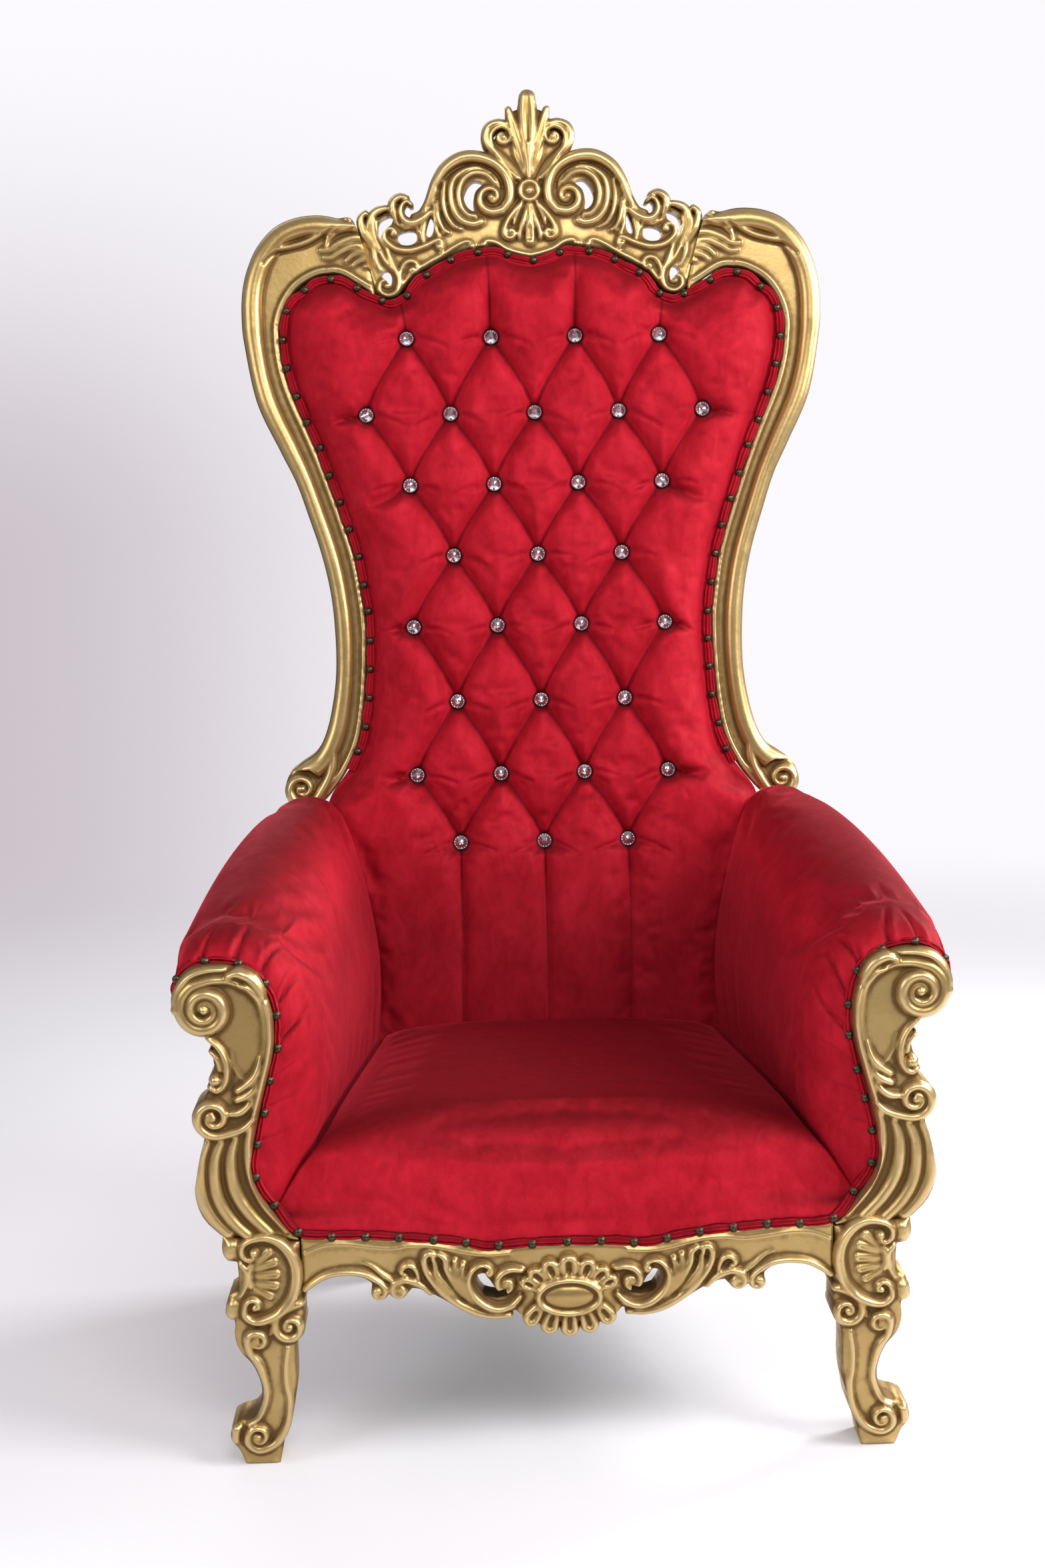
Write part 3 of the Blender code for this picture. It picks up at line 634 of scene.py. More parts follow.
def crest():
    """Pierced crest: palmette, C-scrolls, acanthus, small volutes and a rosette."""
    r = Relief((-0.272, 1.512), (0.272, 1.836))
    r.board(right_half(CREST_OUTLINE), 0.004)
    for r.side in (1, -1):
        # rim bead along the velvet
        r.stroke([(0.000, 1.581), (0.018, 1.585), (0.036, 1.591), (0.052, 1.601), (0.066, 1.603),
                    (0.074, 1.597)], [0.0045, 0.0045, 0.004], 0.004, base=0.004)
        r.stroke([(0.199, 1.534), (0.182, 1.555), (0.158, 1.571), (0.135, 1.583), (0.114, 1.596),
                    (0.097, 1.603), (0.087, 1.599), (0.087, 1.592)], [0.0042, 0.0045, 0.0035],
                 0.004, base=0.004)
        r.bead(0.071, 1.598, 0.005, 0.006, base=0.004)
        r.bead(0.088, 1.596, 0.005, 0.006, base=0.004)
        # top scroll volutes
        r.stroke([(0.010, 1.690), (0.027, 1.713), (0.047, 1.732), (0.060, 1.745), (0.0645, 1.759),
                    (0.060, 1.773), (0.046, 1.779), (0.032, 1.777)],
                 [0.004, 0.007, 0.0075, 0.0065, 0.006], [0.007, 0.011, 0.010], base=0.002)
        lead = [(0.018, 1.695), (0.034, 1.714), (0.049, 1.733), (0.0555, 1.748)]
        r.stroke(lead + spiral((0.0385, 1.758), (0.0565, 1.760), 1.25, 0.005, 1),
                 [0.003, 0.0045, 0.0045, 0.004, 0.003], 0.009, base=0.004)
        r.bead(0.037, 1.757, 0.0058, 0.011, base=0.004)
        # palmette petals
        r.stroke([(0.002, 1.697), (0.009, 1.728), (0.018, 1.757), (0.025, 1.783), (0.029, 1.799)],
                 [0.003, 0.007, 0.0100, 0.0095, 0.0050], [0.008, 0.012, 0.010], base=0.003, vein=0.003)
        r.stroke([(0.012, 1.735), (0.015, 1.765), (0.016, 1.790)], [0.008, 0.010, 0.008], 0.002,
                 base=0.002)
        r.stroke([(0.004, 1.694), (0.011, 1.713), (0.018, 1.731), (0.022, 1.748)],
                 [0.003, 0.0045, 0.0055, 0.004], [0.007, 0.010, 0.008], base=0.002, vein=0.003)
        # big C-scroll: outer band then its spiral
        band = [(0.176, 1.641), (0.163, 1.647), (0.151, 1.665), (0.140, 1.692), (0.125, 1.714),
                (0.102, 1.7275), (0.077, 1.7285), (0.053, 1.720), (0.036, 1.704), (0.0285, 1.684),
                (0.030, 1.664), (0.040, 1.650)]
        turn = spiral((0.058, 1.668), (0.044, 1.648), 1.12, 0.006, 1)
        r.stroke(band + turn, [0.005, 0.008, 0.0095, 0.010, 0.0095, 0.009, 0.0085, 0.006, 0.0035],
                 [0.006, 0.011, 0.013, 0.014, 0.014, 0.010], base=0.001, power=0.55)
        r.bead(0.0585, 1.668, 0.0062, 0.015, base=0.002)
        r.groove([(0.137, 1.683), (0.122, 1.704), (0.100, 1.7165), (0.077, 1.7175), (0.057, 1.711),
                    (0.044, 1.698), (0.040, 1.682)], [0.0016, 0.0022, 0.0022, 0.0016], 0.006)
        # acanthus inside the scroll
        for points, radii in (
                ([(0.052, 1.690), (0.064, 1.702), (0.083, 1.705), (0.0995, 1.695), (0.107, 1.676),
                  (0.104, 1.655), (0.094, 1.643), (0.083, 1.6405)],
                 [0.003, 0.0055, 0.006, 0.0065, 0.006, 0.0045]),
                ([(0.058, 1.706), (0.078, 1.713), (0.100, 1.707), (0.1155, 1.692), (0.119, 1.670),
                  (0.114, 1.648), (0.102, 1.634), (0.086, 1.629), (0.075, 1.632)],
                 [0.002, 0.004, 0.0055, 0.0065, 0.0075, 0.008]),
                ([(0.128, 1.693), (0.1305, 1.668), (0.127, 1.645), (0.117, 1.628), (0.104, 1.621)],
                 [0.003, 0.0055, 0.0055, 0.0045, 0.003]),
                ([(0.140, 1.664), (0.139, 1.642), (0.133, 1.624), (0.123, 1.616)],
                 [0.0045, 0.005, 0.0045, 0.003])):
            r.stroke(points, radii, [0.006, 0.012, 0.012, 0.009], base=0.002)
        r.bead(0.131, 1.617, 0.004, 0.007, base=0.003)
        # strands between the openings
        r.stroke([(0.143, 1.660), (0.1445, 1.642), (0.142, 1.622), (0.137, 1.610)],
                 [0.0045, 0.004, 0.0035], 0.008, base=0.002)
        r.stroke([(0.158, 1.650), (0.161, 1.632), (0.163, 1.612), (0.160, 1.602)],
                 [0.005, 0.0055, 0.004], 0.009, base=0.002, vein=0.003)
        r.stroke([(0.168, 1.640), (0.172, 1.628), (0.166, 1.614)], [0.004, 0.0035, 0.0025],
                 0.006, base=0.002)
        # knob volute on the shoulder of the crest
        r.stroke([(0.203, 1.634), (0.2075, 1.650), (0.206, 1.664), (0.196, 1.671), (0.186, 1.669)],
                 [0.005, 0.0075, 0.0075, 0.0065, 0.005], [0.008, 0.014, 0.014, 0.010], base=0.001)
        r.stroke([(0.150, 1.648), (0.163, 1.638), (0.178, 1.632), (0.190, 1.636), (0.1955, 1.648),
                    (0.193, 1.659), (0.185, 1.664), (0.179, 1.659)],
                 [0.006, 0.008, 0.0085, 0.0075, 0.006, 0.0045, 0.0035],
                 [0.009, 0.013, 0.014, 0.012], base=0.001)
        r.stroke([(0.170, 1.627), (0.186, 1.625), (0.200, 1.630)], [0.003, 0.0045, 0.003], 0.008,
                 base=0.002)
        # leaves towards the stile
        r.stroke([(0.226, 1.588), (0.238, 1.610), (0.242, 1.630), (0.236, 1.647), (0.220, 1.654),
                    (0.209, 1.652)], [0.004, 0.0065, 0.0075, 0.0065, 0.004],
                 [0.007, 0.011, 0.010], base=0.002, vein=0.003)
        r.stroke([(0.234, 1.590), (0.246, 1.608), (0.254, 1.624), (0.256, 1.640), (0.249, 1.648)],
                 [0.004, 0.006, 0.0075, 0.0065, 0.0045], [0.006, 0.011, 0.010], base=0.002, vein=0.002)
        r.stroke([(0.216, 1.590), (0.226, 1.606), (0.232, 1.622), (0.233, 1.636)],
                 [0.003, 0.004, 0.0035], 0.008, base=0.002)
        # vine scroll under the openings
        r.stroke([(0.136, 1.590), (0.1335, 1.598), (0.139, 1.606), (0.160, 1.597), (0.183, 1.591),
                    (0.204, 1.594), (0.218, 1.605), (0.2215, 1.616), (0.215, 1.624), (0.206, 1.622),
                    (0.203, 1.615)], [0.0035, 0.005, 0.0055, 0.0055, 0.005, 0.0035],
                 [0.008, 0.010, 0.010], base=0.003)
        r.bead(0.1395, 1.596, 0.0052, 0.009, base=0.003)
        r.bead(0.2085, 1.616, 0.0050, 0.009, base=0.003)
        # small volute on the ground below
        r.stroke([(0.196, 1.542), (0.198, 1.556)] + spiral((0.180, 1.564), (0.193, 1.569), 0.85,
                                                             0.005, 1),
                 [0.0028, 0.0045, 0.0045, 0.003], 0.008, base=0.003)
        r.bead(0.1795, 1.563, 0.0048, 0.010, base=0.003)
        # drop volute by the joint with the stile
        r.stroke([(0.217, 1.592), (0.209, 1.570), (0.200, 1.550)]
                   + spiral((0.219, 1.539), (0.2025, 1.532), 1.0, 0.005, 1),
                 [0.004, 0.006, 0.0055, 0.0045, 0.003], [0.008, 0.011, 0.009], base=0.002)
        r.bead(0.2195, 1.5385, 0.005, 0.010, base=0.003)
        r.stroke([(0.228, 1.590), (0.219, 1.574), (0.209, 1.560)], [0.004, 0.0045, 0.002], 0.008,
                 base=0.002)
        r.stroke([(0.238, 1.600), (0.236, 1.580), (0.229, 1.562)], [0.005, 0.005, 0.002], 0.007,
                 base=0.002)
        # lower anthemion
        r.stroke([(0.003, 1.660), (0.008, 1.638), (0.0145, 1.618), (0.016, 1.606)],
                 [0.003, 0.0045, 0.0055, 0.0035], [0.007, 0.011, 0.009], base=0.003)
        r.stroke([(0.009, 1.662), (0.022, 1.648), (0.034, 1.632), (0.039, 1.619)]
                   + spiral((0.0295, 1.6145), (0.0385, 1.611), 0.95, 0.0035, -1),
                 [0.004, 0.0055, 0.005, 0.0045, 0.003], [0.008, 0.012, 0.010], base=0.003)
        r.bead(0.029, 1.6145, 0.0042, 0.010, base=0.003)
        r.stroke([(0.012, 1.655), (0.020, 1.640), (0.024, 1.628)], [0.003, 0.004, 0.003], 0.009,
                 base=0.003)
    r.side = 1
    # central petals and rosette
    r.stroke([(0.0, 1.690), (0.0, 1.730), (0.0, 1.765), (0.0, 1.790), (0.0, 1.808), (0.0, 1.8165)],
             [0.004, 0.007, 0.013, 0.0170, 0.0160, 0.0125], [0.010, 0.013, 0.014, 0.012], base=0.003)
    r.groove([(0.0, 1.752), (0.0, 1.775), (0.0, 1.800), (0.0, 1.829)], [0.002, 0.005, 0.007, 0.007],
             0.0055)
    r.stroke([(0.0, 1.662), (0.0, 1.640), (0.0, 1.620), (0.0, 1.602)], [0.003, 0.005, 0.0085, 0.0085],
             [0.008, 0.012, 0.011], base=0.003)
    r.groove([(0.0, 1.622), (0.0, 1.606)], [0.002, 0.0035], 0.005)
    r.bead(0.0, 1.677, 0.0185, 0.008, base=0.004)
    r.stroke([(0.014 * math.cos(a), 1.677 + 0.014 * math.sin(a)) for a in np.linspace(0, 6.4, 20)],
             [0.0042, 0.0042], 0.006, base=0.010)
    r.bead(0.0, 1.677, 0.0072, 0.007, base=0.011)
    for hole in CREST_HOLES:
        for side in (1, -1):
            r.cut(mirror(hole, side))
    piece = r.build("crest_carving", lambda x, z: back_y(z) + 0.006, STILE_BOARD - 0.006)
    dress(piece, GOLD, "antique_gold", "crest_rail", "crest_rosette")


# ---------------------------------------------------------------- carved boards
# Back stile, right: outer side from the crest joint down to the curl, inner side back up.
STILE_OUTER = [(0.265, 1.632), (0.292, 1.641), (0.322, 1.646), (0.357, 1.642), (0.388, 1.628),
               (0.414, 1.600), (0.430, 1.566), (0.438, 1.533), (0.440, 1.496), (0.437, 1.455),
               (0.420, 1.367), (0.387, 1.294), (0.364, 1.246), (0.346, 1.193), (0.328, 1.135),
               (0.316, 1.077), (0.311, 1.019), (0.311, 0.961), (0.317, 0.913), (0.328, 0.869),
               (0.344, 0.838), (0.366, 0.822), (0.384, 0.808), (0.392, 0.788), (0.387, 0.766),
               (0.370, 0.753), (0.350, 0.753)]
STILE_INNER = [(0.326, 0.772), (0.298, 0.810), (0.278, 0.854), (0.269, 0.902), (0.264, 0.960),
               (0.262, 1.027), (0.267, 1.075), (0.277, 1.133), (0.295, 1.192), (0.313, 1.245),
               (0.334, 1.303), (0.359, 1.363), (0.370, 1.393), (0.378, 1.424), (0.382, 1.461),
               (0.380, 1.488), (0.370, 1.515), (0.353, 1.538), (0.328, 1.553), (0.308, 1.557),
               (0.287, 1.555), (0.254, 1.535), (0.237, 1.527)]


def stiles():
    """Serpentine stiles: big round, cove and two fine beads, a leafy shoulder, a curl below."""
    round_width, full_width = 0.033, 0.058
    curl_x, curl_z = 0.367, 0.784
    for side, label in SIDES:
        reach = sorted((side * 0.226, side * 0.447))
        r = Relief((reach[0], 0.742), (reach[1], 1.655))
        r.side = side
        r.board(mirror(STILE_OUTER + STILE_INNER, side), 0.004, 0.003)
        outer = r.away(smooth_path(mirror(STILE_OUTER[:-4], side), 0.002))
        inner = r.away(smooth_path(mirror(STILE_INNER, side), 0.002))
        scale = np.clip((outer + inner) / full_width, 0.2, 1.0)
        taper = np.clip((np.abs(r.grid_x) - 0.262) / 0.05, 0, 1) ** 0.6
        half = np.maximum(0.5 * round_width * scale * np.where(r.grid_z > 1.56, taper, 1.0), 1e-4)
        bulge = 0.018 * scale * np.sqrt(np.clip(1 - ((outer - half) / half) ** 2, 0, 1))
        ground = np.full(bulge.shape, 0.004)
        # two fine beads along the inner edge: distance from it, and height
        for centre, top in ((0.0085, 0.0085), (0.0030, 0.0070)):
            bead = np.clip(1 - ((inner / scale - centre) / 0.0029) ** 2, 0, 1) ** 0.6
            ground = np.maximum(ground, 0.003 + top * bead)
        from_curl = np.hypot(r.grid_x - side * curl_x, r.grid_z - curl_z)
        curl = (from_curl < 0.030) & (r.grid_z < 0.812)
        r.height = np.where(r.depth > 0, np.where(curl, 0.004, np.maximum(bulge, ground)), 0)
        r.height *= np.clip(r.depth / 0.0025, 0, 1) ** 0.5
        # curl at the foot of the stile
        r.stroke([(0.318, 0.845), (0.322, 0.812), (0.334, 0.786), (0.350, 0.764)]
                   + spiral((curl_x, curl_z), (0.366, 0.761), 1.35, 0.006, 1),
                 [0.007, 0.0085, 0.009, 0.009, 0.0085, 0.007, 0.005, 0.004], [0.012, 0.013, 0.012],
                 base=0.003)
        r.bead(curl_x, 0.7845, 0.007, 0.014, base=0.003)
        # wavy lip of the shoulder
        r.stroke([(0.264, 1.629), (0.287, 1.632), (0.305, 1.627), (0.321, 1.615), (0.340, 1.6055),
                    (0.363, 1.599), (0.386, 1.595), (0.404, 1.585), (0.4165, 1.570), (0.425, 1.550)],
                 [0.004, 0.006, 0.0055, 0.005, 0.0045, 0.003], [0.006, 0.007, 0.007, 0.004],
                 base=0.007, solid=False)
        r.groove([(0.300, 1.624), (0.318, 1.611), (0.340, 1.600), (0.365, 1.594), (0.388, 1.588),
                    (0.404, 1.575)], [0.0016, 0.002, 0.0016], 0.005)
        # acanthus fan
        for points in ([(0.238, 1.613), (0.261, 1.624), (0.286, 1.624), (0.304, 1.612), (0.309, 1.599)],
                       [(0.236, 1.602), (0.262, 1.611), (0.288, 1.604), (0.305, 1.594), (0.318, 1.594)],
                       [(0.233, 1.593), (0.265, 1.599), (0.288, 1.591), (0.302, 1.583), (0.314, 1.583)],
                       [(0.228, 1.582), (0.248, 1.590), (0.267, 1.587), (0.280, 1.577)],
                       [(0.228, 1.575), (0.246, 1.580), (0.262, 1.576), (0.270, 1.570)],
                       [(0.226, 1.565), (0.238, 1.570), (0.251, 1.568)]):
            r.stroke(points, [0.003, 0.0062, 0.0068, 0.0055, 0.0038], [0.008, 0.010, 0.009, 0.007],
                     base=0.003, vein=0.0025, solid=False)
        piece = r.build("carved_stile_" + label, lambda x, z: back_y(z) + 0.004, STILE_BOARD - 0.004)
        dress(piece, GOLD, "antique_gold", "back_stile_" + label)


def front_legs():
    """Cabriole legs: shell in a C-scroll, paired knee volutes, a scrolled toe."""
    for side, label in SIDES:
        low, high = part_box("front_leg_" + label)
        r = Relief((low[0] - 0.010, -0.004), (high[0] + 0.010, high[2] + 0.014))
        r.side = side
        r.board(board_outlines("front_leg_" + label)[0], 0.007, 0.013, smooth=False)
        for x, z in ((0.427, 0.289), (0.427, 0.210)):
            r.stroke([(x, z + 0.004), (x + 0.001, z - 0.004)], [0.0105, 0.0105], 0.010, base=0.002)
        r.stroke([(0.417, 0.272), (0.409, 0.260), (0.410, 0.244), (0.418, 0.228)],
                 [0.003, 0.0045, 0.003], 0.009, base=0.004)
        # C-scroll
        band = [(0.3985, 0.279), (0.406, 0.2755), (0.4135, 0.283), (0.413, 0.295), (0.402, 0.303),
                (0.382, 0.3055), (0.363, 0.296), (0.350, 0.277), (0.346, 0.254), (0.352, 0.227),
                (0.367, 0.207), (0.385, 0.197), (0.402, 0.195), (0.413, 0.204), (0.412, 0.217),
                (0.404, 0.223), (0.396, 0.219), (0.395, 0.211)]
        r.stroke(band, [0.0035, 0.0055, 0.0078, 0.0085, 0.0088, 0.0085, 0.0078, 0.0055, 0.0035],
                 [0.010, 0.013, 0.014, 0.014, 0.010], base=0.004)
        r.groove([(0.383, 0.3045), (0.364, 0.295), (0.351, 0.277), (0.347, 0.254), (0.353, 0.228),
                    (0.367, 0.209)], [0.001, 0.0018, 0.0018, 0.001], 0.0035)
        r.bead(0.3990, 0.2855, 0.0068, 0.012, base=0.005)
        r.bead(0.4005, 0.2125, 0.0052, 0.011, base=0.005)
        # scalloped shell
        for root, tip, size in (((0.399, 0.270), (0.379, 0.286), 0.0062),
                                ((0.401, 0.263), (0.373, 0.272), 0.0066),
                                ((0.402, 0.254), (0.371, 0.256), 0.0068),
                                ((0.401, 0.245), (0.373, 0.241), 0.0066),
                                ((0.399, 0.237), (0.380, 0.227), 0.0060)):
            r.stroke([root, tip], [0.4 * size, size], [0.008, 0.011], base=0.003, vein=0.007)
        r.stroke([(0.404, 0.268), (0.407, 0.254), (0.404, 0.240)], [0.004, 0.006, 0.004], 0.009,
                 base=0.004)
        # knee volutes
        r.stroke([(0.342, 0.217), (0.354, 0.2125), (0.367, 0.205)]
                   + spiral((0.3565, 0.186), (0.374, 0.196), 1.35, 0.005, -1),
                 [0.006, 0.0075, 0.0078, 0.0070, 0.0055, 0.0035], [0.012, 0.014, 0.012], base=0.003)
        r.bead(0.3565, 0.186, 0.0058, 0.013, base=0.004)
        r.stroke([(0.3885, 0.098), (0.391, 0.117), (0.3965, 0.137), (0.4065, 0.151), (0.4105, 0.164)]
                   + spiral((0.3985, 0.1685), (0.4105, 0.174), 1.2, 0.004, 1),
                 [0.003, 0.0045, 0.0058, 0.0062, 0.006, 0.005, 0.0035], [0.008, 0.013, 0.012], base=0.004)
        r.bead(0.3985, 0.168, 0.0050, 0.012, base=0.004)
        r.stroke([(0.3700, 0.196), (0.379, 0.188), (0.382, 0.177)], [0.003, 0.0045, 0.003], 0.009,
                 base=0.004)
        # ridges of the shin and the scrolled toe
        r.stroke([(0.409, 0.150), (0.3975, 0.131), (0.3905, 0.111), (0.389, 0.094), (0.394, 0.077),
                    (0.402, 0.063), (0.414, 0.056)], [0.003, 0.0042, 0.0042, 0.004, 0.0035],
                 [0.006, 0.007, 0.008], base=0.006)
        r.stroke([(0.3605, 0.158), (0.3640, 0.132), (0.3635, 0.106), (0.3605, 0.086), (0.364, 0.058),
                    (0.3745, 0.037), (0.386, 0.0265)]
                 + spiral((0.4015, 0.040), (0.400, 0.0225), 1.35, 0.005, 1),
                 [0.0035, 0.0042, 0.0042, 0.0045, 0.006, 0.0068, 0.0065, 0.005, 0.0035],
                 [0.007, 0.007, 0.009, 0.013, 0.012], base=0.005)
        r.bead(0.402, 0.040, 0.0058, 0.013, base=0.005)
        r.stroke([(0.4295, 0.050), (0.431, 0.036)], [0.0072, 0.0068], 0.011, base=0.003)
        piece = r.build("carved_leg_" + label, front_plane(0.004), BOARD - 0.004)
        dress(piece, GOLD, "antique_gold", "front_leg_" + label)


def arm_posts():
    """Arm posts: a large volute under the arm, leaf tips, a small volute and fluting."""
    for side, label in SIDES:
        low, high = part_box("arm_post_" + label)
        r = Relief((low[0] - 0.006, low[2] - 0.006), (high[0] + 0.006, high[2] + 0.006))
        r.side = side
        r.board(board_outlines("arm_post_" + label)[0], 0.005, 0.009, smooth=False)
        r.stroke([(0.424, 0.6535), (0.446, 0.6525), (0.465, 0.646), (0.478, 0.633), (0.4845, 0.618),
                    (0.4840, 0.604)], [0.0035, 0.005, 0.0052, 0.0052, 0.005], [0.008, 0.010, 0.010],
                 base=0.003)
        r.bead(0.4835, 0.603, 0.0072, 0.010, base=0.004)
        # leaf lobes over the volute
        r.stroke([(0.419, 0.6450), (0.405, 0.6485), (0.390, 0.641), (0.379, 0.625), (0.373, 0.607)],
                 [0.004, 0.0085, 0.0085, 0.0065, 0.003], [0.012, 0.014, 0.011, 0.007], base=0.003)
        r.stroke([(0.404, 0.633), (0.394, 0.630), (0.383, 0.618), (0.377, 0.603)],
                 [0.0035, 0.0052, 0.005, 0.002], [0.012, 0.012, 0.007], base=0.004)
        # great volute
        r.stroke([(0.3835, 0.530), (0.3755, 0.558), (0.3755, 0.590), (0.381, 0.611), (0.394, 0.627),
                    (0.414, 0.638), (0.432, 0.640)]
                   + spiral((0.4485, 0.6035), (0.447, 0.638), 2.25, 0.007, -1),
                 [0.003, 0.0045, 0.0055, 0.0070, 0.0088, 0.0098, 0.0098, 0.0090, 0.0070, 0.0045],
                 [0.006, 0.008, 0.010, 0.014, 0.016, 0.016, 0.013], base=0.002)
        r.bead(0.4485, 0.6035, 0.0078, 0.015, base=0.004)
        # double ridge down the inner side
        r.stroke([(0.3730, 0.610), (0.3690, 0.590), (0.3690, 0.562), (0.3735, 0.535), (0.380, 0.511),
                    (0.3875, 0.483), (0.394, 0.461)], [0.004, 0.0045, 0.0045, 0.0045, 0.0035], 0.009,
                 base=0.004)
        for points in ([(0.381, 0.540), (0.3875, 0.519), (0.399, 0.506), (0.411, 0.498)],
                       [(0.385, 0.514), (0.392, 0.498), (0.4025, 0.490), (0.412, 0.486)],
                       [(0.390, 0.494), (0.399, 0.478), (0.410, 0.470), (0.421, 0.4685)]):
            r.stroke(points, [0.0025, 0.0055, 0.0068, 0.0058], [0.007, 0.011, 0.013, 0.011], base=0.003)
        r.stroke([(0.404, 0.512), (0.415, 0.530), (0.418, 0.548)], [0.002, 0.003, 0.0015], 0.004,
                 base=0.004)
        # small scroll and pearl on the outer side
        r.stroke([(0.446, 0.566), (0.433, 0.554), (0.4250, 0.538), (0.4235, 0.522), (0.4275, 0.507),
                    (0.4365, 0.499), (0.445, 0.503)], [0.0035, 0.0052, 0.006, 0.006, 0.0045],
                 [0.009, 0.012, 0.012], base=0.003)
        r.stroke([(0.443, 0.549), (0.434, 0.537), (0.432, 0.524)], [0.003, 0.0042, 0.003], 0.009,
                 base=0.003)
        r.bead(0.4385, 0.5125, 0.0085, 0.013, base=0.004)
        # lower volute
        r.stroke([(0.3935, 0.460), (0.406, 0.4485), (0.423, 0.4425)]
                   + spiral((0.4430, 0.4640), (0.441, 0.4400), 1.5, 0.006, 1),
                 [0.0045, 0.0065, 0.0075, 0.0078, 0.007, 0.0058, 0.004], [0.010, 0.014, 0.013], base=0.003)
        r.bead(0.4430, 0.4640, 0.0065, 0.013, base=0.004)
        # flutes below it
        for points, radii in (
                ([(0.4520, 0.432), (0.4615, 0.404), (0.4620, 0.366), (0.450, 0.335), (0.430, 0.311)],
                 [0.006, 0.0095, 0.0105, 0.010, 0.008]),
                ([(0.4330, 0.436), (0.4445, 0.404), (0.4430, 0.364), (0.429, 0.333), (0.406, 0.307)],
                 [0.006, 0.0095, 0.0105, 0.010, 0.008]),
                ([(0.4150, 0.441), (0.4235, 0.408), (0.4200, 0.370), (0.4035, 0.338), (0.378, 0.309)],
                 [0.005, 0.0090, 0.0105, 0.010, 0.008]),
                ([(0.3965, 0.455), (0.4015, 0.425), (0.3990, 0.387), (0.3830, 0.349), (0.356, 0.314)],
                 [0.0045, 0.0065, 0.0075, 0.008, 0.007])):
            r.stroke(points, radii, [0.009, 0.013, 0.013, 0.010], base=0.001, solid=False)
        piece = r.build("carved_post_" + label, front_plane(0.004), BOARD - 0.004)
        dress(piece, GOLD, "antique_gold", "arm_post_" + label)


